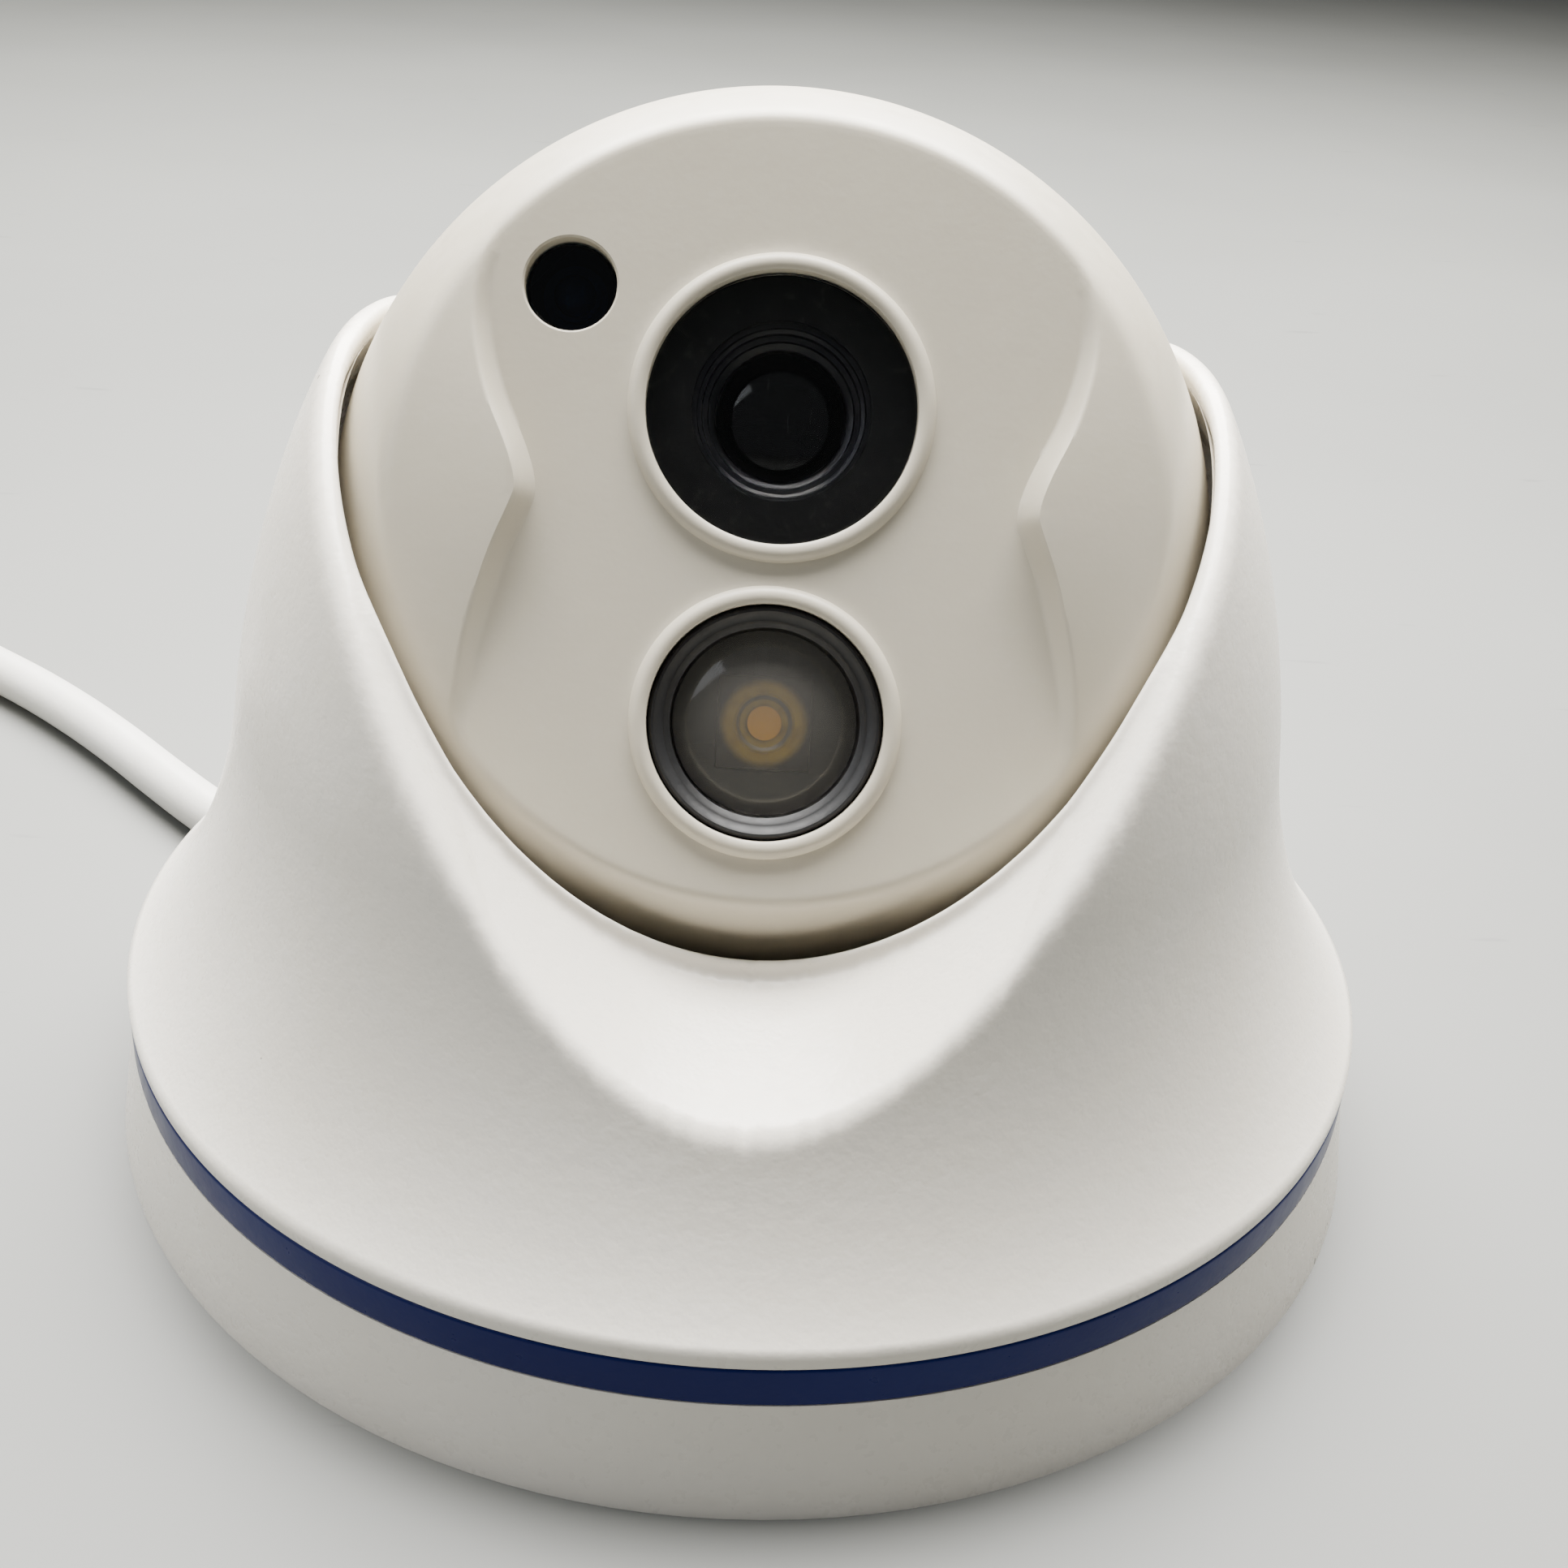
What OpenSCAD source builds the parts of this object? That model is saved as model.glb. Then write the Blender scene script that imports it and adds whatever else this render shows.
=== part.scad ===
// Desktop or ceiling dome camera: a ball held between a scooped cover and a round mounting base.
// The base's bottom centre is the origin, +Z is up and the lens looks towards -Y.

/* [Housing] */
// Diameter of the mounting base where it meets the ceiling or table
base_d = 94; // [88:1:120]
// Height of the white wall of the base
base_wall_h = 8; // [7:0.5:10]
// Draft of the base wall, on the radius
rim_draft = 1.3; // [0:0.1:2]
// Thickness of the base wall at its top
rim_wall = 2; // [1.6:0.1:3]
// Height of the coloured trim ring
trim_h = 2.8; // [2:0.1:4]
// Thickness of the base floor
floor_t = 2.5; // [2:0.1:3]
// Wall of the cover
cover_wall = 2.2; // [1.6:0.1:2.6]
// Height of the straight band at the cover's lower edge
cover_band = 1.2; // [0.8:0.1:2]
// Room between the ball and the outside of the cover's waist
waist_room = 7; // [6:0.5:10]
// Height of the collar's top above the centre of the ball
collar_rise = 14.4; // [10:0.2:18]
// Wall of the collar at its top edge
collar_wall = 1.7; // [1.4:0.1:2.4]

/* [Scoop] */
// Height of the scoop's lip below the centre of the ball
scoop_drop = 17.3; // [12:0.1:20]
// Curvature of the scoop's parabola, per millimetre
scoop_curve = 0.0325; // [0.025:0.0005:0.045]
// Slope of the scoop's floor towards the front, in degrees
scoop_slope = 12; // [6:1:16]

/* [Ball] */
// Diameter of the ball
ball_d = 59.6; // [54:0.2:72]
// Wall of the ball's two shells
ball_wall = 1.8; // [1.5:0.1:2.4]
// Room between the base floor and the bottom of the ball
ball_lift = 10.7; // [9:0.1:16]
// Elevation of the lens axis above the horizon at rest, in degrees
lens_elevation = 28; // [20:1:40]
// Distance of the flat face from the centre of the ball
face_w = 17.8; // [16:0.1:19]
// Thickness of the face plate
face_t = 2.6; // [2.4:0.1:3.2]
// Rise of the side wings above the face at their peaks
wing_rise = 1.8; // [0.8:0.1:2.4]
// Height of the raised beads round the windows
bead_h = 0.6; // [0.3:0.1:1]
// Width of the raised beads
bead_t = 1.05; // [0.8:0.05:1.4]

/* [Optics] */
// Diameter of the lens window
window_d = 16.5; // [15:0.1:18]
// Height of the lens axis above the centre of the face
lens_v = 6.2; // [5.6:0.1:6.8]
// Diameter of the lens thread
lens_thread_d = 12; // [11:0.5:12]
// Diameter of the lens head
lens_head_d = 13.2; // [12.6:0.1:13.4]
// Diameter of the lamp opening
lamp_d = 14.4; // [13:0.1:15]
// Height of the lamp axis above the centre of the face
lamp_v = -12.8; // [-13.4:0.1:-12.2]
// Diameter of the light sensor's hole
eye_d = 5.6; // [4.6:0.1:6]
// Travel of the infrared filter between its two places
filter_travel = 5.5; // [5:0.1:5.6]

/* [Fixings] */
// Diameter of the circle of mounting screws
screw_pcd = 61; // [60:0.5:62]
// Diameter of each mounting screw hole
screw_hole_d = 4.2; // [3.6:0.1:4.6]
// Number of mounting screws
screw_count = 3; // [3:1:3]
// Turn that frees the cover from the base, in degrees
unlock_turn = 18; // [16:1:24]

/* [Cable] */
// Diameter of the cable
cord_d = 4.5; // [4:0.1:4.6]
// Diameter of each short lead
lead_d = 3.2; // [2.6:0.1:3.4]
// Direction in which the cable leaves the base, in degrees from +X
cord_az = 152; // [150:1:154]

/* [Clearances] */
// Gap between parts that move past each other
run_gap = 0.3; // [0.2:0.05:0.4]
// Radial gap of the lens thread in its mount
thread_gap = 0.05; // [0.02:0.01:0.1]
// Gap between the cover's collar and the ball
collar_gap = 0.6; // [0.4:0.1:1]
// Extra gap between the ball and the front lip
lip_gap = 1.4; // [0.6:0.1:2]
// Gap between fixed pieces that drop into each other
fit_gap = 0.1; // [0.05:0.05:0.2]

/* [Hidden] */
$fn = 96;
eps = 0.01;

// Heights and radii of the housing
base_r = base_d / 2;
rim_r = base_r - rim_draft;
rim_in_r = rim_r - rim_wall;
cover_z = base_wall_h + trim_h;
ball_r = ball_d / 2;
ball_z = floor_t + ball_lift + ball_r;
waist_r = ball_r + waist_room;
collar_z = ball_z + collar_rise;
collar_in_r = sqrt(pow(ball_r + collar_gap, 2) - pow(collar_rise, 2));
collar_r = collar_in_r + collar_wall;
waist_z = ball_z - 11;

// Bayonet between the base and the cover
skirt_wall = 1.6;
skirt_r = rim_in_r - run_gap;
skirt_in_r = skirt_r - skirt_wall;
hook_depth = 2.4;
hook_h = 1.4;
lug_arc = unlock_turn - 4;
hook_arc = lug_arc - 2;
skirt_z = cord_d + 1.1;
lug_ring_r = skirt_in_r - hook_depth - run_gap;
lug_ring_wall = 1.8;
lug_r = skirt_in_r - 0.5;
lug_z = skirt_z + hook_h + run_gap;
lug_h = 1.5;
lug_step = 0.3;
lug_first = 90;
lug_count = 3;
stop_arc = 3;
stop_foot = floor_t - 0.5;

// Cup that carries the seat ring
seat_angle = 45;
seat_w = 3.8;
seat_h = 5.5;
seat_in_r = (ball_r + run_gap) * sin(seat_angle) - seat_w / 2;
seat_out_r = seat_in_r + seat_w;
seat_z = ball_z - (ball_r + run_gap) * cos(seat_angle) - seat_h + 0.4;
cup_wall = 1.8;
cup_in_r = seat_out_r + run_gap;
cup_r = cup_in_r + cup_wall;
cup_h = seat_z + 2.5;
shelf_h = 2;

// Cable path through the base
slot_w = cord_d + 1.5;
slot_in_r = 34;
notch_h = cord_d + 0.6;
channel_d = 0.5;
clamp_place = 0.476;
clamp_r = cup_r + clamp_place * (lug_ring_r - lug_ring_wall - cup_r);
clamp_span = 12;
clamp_post_r = 2.4;
clamp_w = 6;
clamp_t = 1.2;
clamp_squeeze = 0.4;
clamp_screw_d = 2.2;
boss_h = 3;
screw_boss_r = screw_hole_d / 2 + 1.9;

// Places inside the ball, along the lens axis
shell_split = -1;
lap_h = 2;
plate_w = face_w - face_t;
window_t = 1;
gasket_t = 0.5;
window_top = face_w - 0.2;
ledge_w = window_top - window_t - gasket_t;
ledge_r = lens_head_d / 2 + run_gap;
board_t = 1.6;
lamp_board_gap = 2.4;
lamp_board_top = plate_w - lamp_board_gap;
lamp_board_r = 21;
main_board_top = -4;
main_board_size = 32;
main_board_v = 1;
hole_u = 14;
hole_low_v = -11.5;
hole_high_v = 6;
standoff_r = 2;
lens_r = lens_thread_d / 2;
barrel_foot = 1.8;
barrel_neck = 9.4;
barrel_top = ledge_w - 0.2;
glass_drop = 3.2;
glass_r = 4;
glass_bulge_r = 7.5;
mount_r = 7.6;
mount_flange = [18, 14, 1.6];
lock_ring_h = 1.4;
housing_u = 23;
housing_v = 15;
housing_h = 5.4;
housing_wall = 1.2;
housing_hole_r = 5;
slide_u = 13;
slide_v = 10.4;
slide_end = 3.75;
slide_t = 0.8;
slide_w = -1.6;
rail_v = 1.6;
filter_r = 2.4;
solenoid_r = 2.4;
solenoid_l = 9;
sensor_size = [7.2, 6.4, 1.2];
shell_screw_u = ball_r - 8.6;
shell_boss_r = 2.7;
shell_screw_d = 2.2;
shell_seat_w = -7;
grommet_angle = 40;
grommet_r = 3.3;
eye_pos = [-13.1, 12.9];
eye_top = face_w - 1.2;

// Cable route on the table: straight out of the gland, then away to the rear left
cord_z = cord_d / 2;
cord_points = [[-41, 21.8, cord_z], [-46, 24.6, cord_z], [-50, 28, cord_z],
    [-55, 33, cord_z], [-60.5, 38.7, cord_z], [-66, 44, cord_z], [-72, 49.2, cord_z],
    [-78, 53.8, cord_z], [-84, 58, 2.4], [-90, 62.2, 2.6], [-98, 67.7, 2.8]];
tie_t = 0.6;
coil_at = [-112, 47];
coil_r = 25;
coil_turns = 2.34;
coil_h = cord_d * (1 + coil_turns);
tail_points = [[-137, 45, 13.3], [-137, 41, 12.4], [-137, 36.5, 9.9], [-137, 32, 6.9],
    [-137, 27.5, 4.2], [-137, 23.5, 2.6], [-137, 20, cord_z], [-137, 17, cord_z]];
split_l = 11;
split_w = 9;
split_h = 6;
lead_z = 2;
split_at = tail_points[len(tail_points) - 1];
split_end_y = split_at[1] - split_l;
video_points = [[-139.2, split_end_y, lead_z], [-139.2, 3.5, lead_z], [-139.4, 0, 2.2],
    [-139.8, -4, 2.9], [-140.3, -8, 3.9], [-140.7, -12, 4.9], [-141, -16, 5.5],
    [-141, -20, 5.6], [-141, -24, 5.6]];
power_points = [[-134.8, split_end_y, lead_z], [-134.8, 3.5, lead_z], [-134, 0, 2.2],
    [-132.3, -4, 2.7], [-130.2, -8, 3.4], [-128.6, -12, 4.3], [-128, -16, 4.9],
    [-128, -20, 5], [-128, -24, 5]];
video_at = video_points[len(video_points) - 1];
power_at = power_points[len(power_points) - 1];
boot_r = 5.4;
video_boot_l = 15;
video_shell_l = 13;
jack_r = 4.9;
jack_bore_r = 2.8;
jack_bore_l = 9.5;
power_jack_l = 19;

// Colours
white_c = [0.93, 0.92, 0.89];
ball_c = [0.86, 0.85, 0.81];
black_c = [0.06, 0.06, 0.07];
board_c = [0.05, 0.32, 0.18];
steel_c = [0.72, 0.72, 0.74];
glass_c = [0.55, 0.62, 0.68, 0.4];
brass_c = [0.78, 0.64, 0.32];
cable_c = [0.88, 0.87, 0.84];

// Point of a cubic curve with four control points, t from 0 to 1
function curve_point(p, t) = pow(1 - t, 3) * p[0] + 3 * pow(1 - t, 2) * t * p[1]
    + 3 * (1 - t) * pow(t, 2) * p[2] + pow(t, 3) * p[3];

function curve_points(p, steps) = [for (i = [0:steps]) curve_point(p, i / steps)];

// Outside of the cover, from the band at its foot up to the collar
flare = [[rim_r, cover_z + cover_band], [rim_r - 3.2, cover_z + 4.2],
    [waist_r + 1.5, waist_z - 10], [waist_r, waist_z]];
neck = [[waist_r, waist_z], [waist_r - 0.9, waist_z + 7],
    [waist_r - 3.2, waist_z + 17], [collar_r, collar_z]];

function cover_outline(inset) = [
    for (p = concat(curve_points(flare, 8), curve_points(neck, 8))) [p[0] - inset, p[1]]];

// Placing in the ball's own frame: u to the right, v up the face, w along the lens axis
module in_ball()
    translate([0, 0, ball_z]) rotate([90 - lens_elevation, 0, 0]) children();

module at_face(pos, w) in_ball() translate([pos[0], pos[1], w]) children();

module at_lens(w) at_face([0, lens_v], w) children();

module at_lamp(w) at_face([0, lamp_v], w) children();

module ring(r_out, r_in, h) difference() {
    cylinder(r = r_out, h = h);
    translate([0, 0, -eps]) cylinder(r = r_in, h = h + 2 * eps);
}

module arc_ring(r_out, r_in, h, from, span) rotate([0, 0, from])
    rotate_extrude(angle = span) translate([r_in, 0]) square([r_out - r_in, h]);

module each_mount_screw() for (i = [0:screw_count - 1])
    rotate([0, 0, lug_first + i * 360 / screw_count]) translate([screw_pcd / 2, 0, 0])
        children();

module each_lug() for (i = [0:lug_count - 1])
    rotate([0, 0, lug_first + i * 360 / lug_count]) children();

module along_cord_exit(r, z) rotate([0, 0, cord_az]) translate([r, 0, z]) children();

// Closed tube swept along a list of points; each ring faces along the runs on both its sides
function run_dir(p, i) = p[min(i + 1, len(p) - 1)] - p[max(i - 1, 0)];

function tube_ring(p, i, r, sides) =
    let (d = run_dir(p, i) / norm(run_dir(p, i)))
    let (side = cross(d, [0, 0, 1]) / norm(cross(d, [0, 0, 1])))
    let (up = cross(side, d))
    [for (k = [0:sides - 1]) p[i] + r * (cos(360 * k / sides) * side + sin(360 * k / sides) * up)];

module tube(p, r, sides) {
    last = (len(p) - 1) * sides;
    walls = [for (i = [0:len(p) - 2]) for (k = [0:sides - 1])
        let (a = i * sides + k, b = i * sides + (k + 1) % sides)
        each [[a, b, b + sides], [a, b + sides, a + sides]]];
    caps = [[for (k = [sides - 1:-1:0]) k], [for (k = [0:sides - 1]) last + k]];
    polyhedron(points = [for (i = [0:len(p) - 1]) each tube_ring(p, i, r, sides)],
        faces = concat(walls, caps));
}

// ---- Mounting base ----

module rim_wall_ring() rotate_extrude()
    polygon([[rim_in_r, 0], [base_r, 0], [rim_r, base_wall_h], [rim_in_r, base_wall_h]]);

module lug() {
    arc_ring(lug_r, lug_ring_r - lug_ring_wall / 2, lug_h, -lug_arc / 2, lug_arc);
    translate([0, 0, stop_foot - lug_z])
        arc_ring(lug_r, lug_ring_r - lug_ring_wall / 2, lug_z + lug_h + lug_step - stop_foot,
            -lug_arc / 2 - stop_arc, stop_arc + 0.5);
}

module mounting_base() color(white_c) difference() {
    union() {
        rim_wall_ring();
        cylinder(r = rim_in_r + rim_wall / 2, h = floor_t);
        ring(cup_r, cup_in_r, cup_h);
        translate([0, 0, seat_z - shelf_h]) ring(cup_r - cup_wall / 2, seat_in_r, shelf_h);
        ring(lug_ring_r, lug_ring_r - lug_ring_wall, lug_z + lug_h + 2 * lug_step);
        each_lug() translate([0, 0, lug_z]) lug();
        each_mount_screw() cylinder(r = screw_boss_r, h = floor_t + boss_h);
        for (s = [-1, 1]) along_cord_exit(clamp_r, 0) translate([0, s * clamp_span / 2, 0])
            cylinder(r = clamp_post_r, h = floor_t + cord_d - clamp_squeeze);
    }
    each_mount_screw() translate([0, 0, -1]) cylinder(d = screw_hole_d, h = floor_t + boss_h + 2);
    along_cord_exit(slot_in_r, -1) translate([0, -slot_w / 2, 0])
        cube([base_r, slot_w, notch_h + 1]);
    along_cord_exit(seat_in_r - 2, floor_t - channel_d) translate([0, -slot_w / 2, 0])
        cube([slot_in_r - seat_in_r + 4, slot_w, notch_h + channel_d]);
    for (s = [-1, 1]) along_cord_exit(clamp_r, floor_t) translate([0, s * clamp_span / 2, 0])
        cylinder(d = clamp_screw_d, h = cord_d + 2);
}

module trim_ring() color([0.1, 0.13, 0.42])
    translate([0, 0, base_wall_h]) ring(rim_r, rim_in_r, trim_h);

gland_flange = 1.4;
gland_in_r = rim_in_r - gland_flange - 0.4;

module cable_gland() color(white_c) intersection() {
    union() {
        along_cord_exit(gland_in_r, 0) translate([0, -slot_w / 2 + fit_gap, 0])
            cube([base_r, slot_w - 2 * fit_gap, notch_h - fit_gap]);
        along_cord_exit(gland_in_r, floor_t + fit_gap) translate([0, -slot_w / 2 - 1, 0])
            cube([gland_flange, slot_w + 2, notch_h - floor_t - fit_gap]);
    }
    cylinder(r = base_r + 0.2, h = notch_h);
}

module cable_clamp() color(steel_c) difference() {
    along_cord_exit(clamp_r, floor_t + cord_d)
        translate([-clamp_w / 2, -clamp_span / 2 - clamp_post_r, 0])
        cube([clamp_w, clamp_span + 2 * clamp_post_r, clamp_t]);
    for (s = [-1, 1]) along_cord_exit(clamp_r, 0) translate([0, s * clamp_span / 2, 0])
        cylinder(d = clamp_screw_d + 0.4, h = floor_t + cord_d + 2);
}

module clamp_screws() color(steel_c)
    for (s = [-1, 1]) along_cord_exit(clamp_r, floor_t) translate([0, s * clamp_span / 2, 0]) {
        translate([0, 0, cord_d + clamp_t]) cylinder(d = 4, h = 1.2);
        translate([0, 0, 1]) cylinder(d = clamp_screw_d - 0.2, h = cord_d + 0.3);
    }

// Lead from the gland, over the floor and up to the ball's grommet
jacket_t = 0.45;
inner_d = cord_d - 2 * jacket_t;
exit_dir = [cos(cord_az), sin(cord_az), 0];
hole_dir = [0, cos(lens_elevation + grommet_angle), -sin(lens_elevation + grommet_angle)];
hole_at = [0, 0, ball_z] + (ball_r + 0.2) * hole_dir;
floor_lead_z = floor_t + inner_d / 2 + 0.4;
inner_points = concat(
    [for (r = [gland_in_r - fit_gap, gland_in_r - 3]) r * exit_dir + [0, 0, cord_z]],
    [for (r = [35, 31, 27, 22, 17]) r * exit_dir + [0, 0, r > 34 ? cord_z + 1.2 : floor_lead_z]],
    [[-12, 12.5, floor_lead_z + 0.3], [-8, 16, floor_lead_z + 0.8],
     [-3.8, 17.4, floor_lead_z + 1.6], [-1, 16, floor_lead_z + 3.4]],
    [hole_at + 5 * hole_dir, hole_at + 0.4 * hole_dir]);

module inner_cable() color(black_c) tube(inner_points, inner_d / 2, 8);

// ---- Seat ring: low-friction ring that turns with the ball ----

module seat_ring() color([0.2, 0.2, 0.21]) difference() {
    translate([0, 0, seat_z]) ring(seat_out_r, seat_in_r, seat_h);
    translate([0, 0, ball_z]) sphere(r = ball_r + run_gap);
}

// ---- Cover ----

// Space above the scoop; drop lowers and widens it to make the underside of the wall
scoop_back = 8;
scoop_len = base_r + 30;
scoop_half = 48;

module scoop_space(drop) {
    k = scoop_curve * (drop > 0 ? 0.85 : 1);
    lip_y = sqrt(pow(ball_r, 2) - pow(scoop_drop, 2));
    z0 = ball_z - scoop_drop + (lip_y + scoop_back) * tan(scoop_slope) - drop;
    translate([0, scoop_back, z0]) rotate([scoop_slope, 0, 0]) rotate([90, 0, 0])
        linear_extrude(scoop_len) polygon(concat(
            [for (x = [-scoop_half:3:scoop_half]) [x, k * x * x]],
            [[scoop_half, 120], [-scoop_half, 120]]));
}

module cover_outside() difference() {
    rotate_extrude() polygon(concat([[0, cover_z], [rim_r, cover_z]], cover_outline(0),
        [[0, collar_z]]));
    scoop_space(0);
}

module cover_inside() difference() {
    rotate_extrude() polygon(concat([[0, cover_z - 1], [rim_r - cover_wall, cover_z - 1]],
        cover_outline(cover_wall), [[collar_in_r - 0.6, collar_z + 1], [0, collar_z + 1]]));
    scoop_space(cover_wall);
}

module hook() arc_ring(skirt_in_r + skirt_wall / 2, skirt_in_r - hook_depth, hook_h,
    -hook_arc / 2, hook_arc);

module top_cover() color(white_c) difference() {
    union() {
        difference() {
            cover_outside();
            cover_inside();
        }
        translate([0, 0, skirt_z]) ring(skirt_r, skirt_in_r, cover_z - skirt_z + cover_band);
        translate([0, 0, cover_z]) ring(rim_r - 0.5, skirt_in_r, cover_band);
        each_lug() rotate([0, 0, 0.5]) translate([0, 0, skirt_z]) hook();
    }
    translate([0, 0, ball_z]) sphere(r = ball_r + collar_gap);
    translate([0, -lip_gap, ball_z]) sphere(r = ball_r + collar_gap);
}

// ---- Ball shells ----

window_seat_r = window_d / 2 + fit_gap;
rim_face_r = sqrt(pow(ball_r, 2) - pow(face_w, 2));

// Half of the wing outline from its upper end, past the peak, to its lower end
wing_edge = [[17.8, 15.4], [18.3, 11], [17.3, 6.5], [15.7, 3], [15, 0.6], [15.4, -1],
    [16.6, -4], [17.9, -9], [18.4, -13.4]];

module wing() intersection() {
    translate([0, 0, face_w - eps])
        cylinder(r1 = rim_face_r, r2 = rim_face_r * 0.55, h = wing_rise * 1.25);
    translate([0, 0, face_w - 1]) linear_extrude(wing_rise + 1)
        polygon(concat(wing_edge, [[26, -19], [30, 0], [26, 19]]));
}

module bead(pos, d) translate([pos[0], pos[1], face_w - eps]) ring(d / 2 + bead_t, d / 2, bead_h);

module shell_cavity() intersection() {
    sphere(r = ball_r - ball_wall);
    translate([0, 0, plate_w - 100]) cube(200, center = true);
}

module each_shell_screw() for (s = [-1, 1]) translate([s * shell_screw_u, 0, 0]) children();

// Screws of the lamp board, on bosses behind the face plate
lamp_boss_pos = [[-8, 18], [17, -8], [-17, -8]];
lamp_boss_r = 2;

module ball_front_shell() color(ball_c) in_ball() difference() {
    union() {
        difference() {
            intersection() {
                sphere(r = ball_r);
                translate([0, 0, face_w - 100]) cube(200, center = true);
            }
            shell_cavity();
        }
        wing();
        mirror([1, 0, 0]) wing();
        bead([0, lens_v], window_d);
        bead([0, lamp_v], lamp_d);
        intersection() {
            sphere(r = ball_r - ball_wall / 2);
            union() {
                each_shell_screw() translate([0, 0, shell_split + lap_h])
                    cylinder(r = shell_boss_r, h = plate_w - shell_split - lap_h + eps);
                for (p = lamp_boss_pos) translate([p[0], p[1], lamp_board_top])
                    cylinder(r = lamp_boss_r, h = lamp_board_gap + eps);
            }
        }
    }
    translate([0, 0, shell_split - 100]) cube(200, center = true);
    difference() {
        sphere(r = ball_r - ball_wall / 2 + fit_gap / 2);
        translate([0, 0, shell_split + lap_h + 100]) cube(200, center = true);
    }
    translate([0, lens_v, ledge_w]) cylinder(r = window_seat_r, h = 10);
    translate([0, lens_v, plate_w - 3]) cylinder(r = ledge_r, h = 10);
    translate([0, lamp_v, plate_w - 3]) cylinder(r = lamp_d / 2, h = 10);
    translate([eye_pos[0], eye_pos[1], plate_w - 3]) cylinder(d = eye_d, h = 10);
    each_shell_screw() translate([0, 0, shell_split]) cylinder(d = shell_screw_d, h = 10);
    for (p = lamp_boss_pos) translate([p[0], p[1], lamp_board_top - eps]) cylinder(d = 1.8, h = 3);
}

module ball_rear_shell() color(ball_c) in_ball() difference() {
    union() {
        difference() {
            sphere(r = ball_r);
            shell_cavity();
            translate([0, 0, shell_split + 100]) cube(200, center = true);
        }
        difference() {
            sphere(r = ball_r - ball_wall / 2 - fit_gap / 2);
            shell_cavity();
            translate([0, 0, shell_split + lap_h + 100 - fit_gap]) cube(200, center = true);
            translate([0, 0, shell_split - 102]) cube(200, center = true);
        }
        intersection() {
            sphere(r = ball_r - ball_wall / 2);
            each_shell_screw() translate([0, 0, -ball_r])
                cylinder(r = shell_boss_r, h = ball_r + shell_split + lap_h - fit_gap);
        }
    }
    each_shell_screw() {
        translate([0, 0, -ball_r]) cylinder(d = 4.2, h = ball_r + shell_seat_w);
        translate([0, 0, -ball_r]) cylinder(d = 2.6, h = 2 * ball_r);
    }
    rotate([180 - grommet_angle, 0, 0]) cylinder(r = grommet_r + fit_gap, h = ball_r + 5);
}

module shell_screws() color(steel_c) in_ball() each_shell_screw() {
    translate([0, 0, shell_seat_w - 1.6]) cylinder(d = 3.8, h = 1.6);
    translate([0, 0, shell_seat_w - eps]) cylinder(d = shell_screw_d - 0.2, h = 14);
}

module ball_grommet() color(black_c) in_ball() rotate([180 - grommet_angle, 0, 0])
    difference() {
        intersection() {
            union() {
                cylinder(r = grommet_r, h = ball_r + 5);
                cylinder(r = grommet_r + 1.2, h = ball_r - ball_wall - fit_gap - 0.3);
            }
            sphere(r = ball_r - 0.1);
        }
        cylinder(r = 10, h = ball_r - ball_wall - 1.8);
        cylinder(r = inner_d / 2 + fit_gap, h = ball_r + 6);
    }

// ---- Optics ----

module lens_window() color(glass_c)
    at_lens(window_top - window_t) cylinder(d = window_d, h = window_t);

module window_gasket() color(black_c)
    at_lens(ledge_w) ring(window_d / 2, 5.5, gasket_t);

module lens_barrel() color(black_c) at_lens(0) difference() {
    union() {
        translate([0, 0, barrel_foot]) cylinder(r = lens_r, h = barrel_neck - barrel_foot + 1);
        translate([0, 0, barrel_neck]) cylinder(d = lens_head_d, h = barrel_top - barrel_neck);
    }
    translate([0, 0, barrel_top - glass_drop / 2])
        cylinder(r1 = glass_r, r2 = glass_r + 1.2, h = glass_drop / 2 + eps);
    translate([0, 0, barrel_top - glass_drop]) cylinder(r = glass_r + fit_gap, h = glass_drop - 0.2);
    translate([0, 0, barrel_foot - 1]) cylinder(r = 3, h = 20);
}

module lens_front_glass() color([0.12, 0.14, 0.22]) at_lens(barrel_top - glass_drop)
    intersection() {
        cylinder(r = glass_r, h = 2.4);
        translate([0, 0, 2.3 - glass_bulge_r]) sphere(r = glass_bulge_r);
    }

module lens_lock_ring() color(brass_c)
    at_lens(barrel_neck - lock_ring_h - 0.2) ring(mount_r, lens_r + thread_gap, lock_ring_h);

module lens_mount() color(black_c) at_lens(main_board_top + housing_h) difference() {
    union() {
        translate([-mount_flange[0] / 2, -mount_flange[1] / 2, 0]) cube(mount_flange);
        cylinder(r = mount_r, h = barrel_neck - lock_ring_h - 0.4 - main_board_top - housing_h);
    }
    translate([0, 0, -1]) cylinder(r = lens_r + thread_gap, h = 20);
}

// Box of the switched filter: open below for the sensor, round hole above for the lens.
// Two rails along its long walls carry the slide.
module filter_room() difference() {
    translate([-housing_u / 2 + housing_wall, -housing_v / 2 + housing_wall, -1])
        cube([housing_u - 2 * housing_wall, housing_v - 2 * housing_wall,
            housing_h - housing_wall + 1]);
    for (s = [0, 1]) mirror([0, s, 0]) translate([-housing_u / 2, -housing_v / 2, -2])
        cube([housing_u, rail_v + housing_wall, slide_w - main_board_top - run_gap + 2]);
}

module filter_housing() color([0.15, 0.15, 0.16]) at_lens(main_board_top) difference() {
    translate([-housing_u / 2, -housing_v / 2, 0]) cube([housing_u, housing_v, housing_h]);
    filter_room();
    translate([0, 0, -1]) cylinder(r = housing_hole_r, h = housing_h + 2);
}

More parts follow.
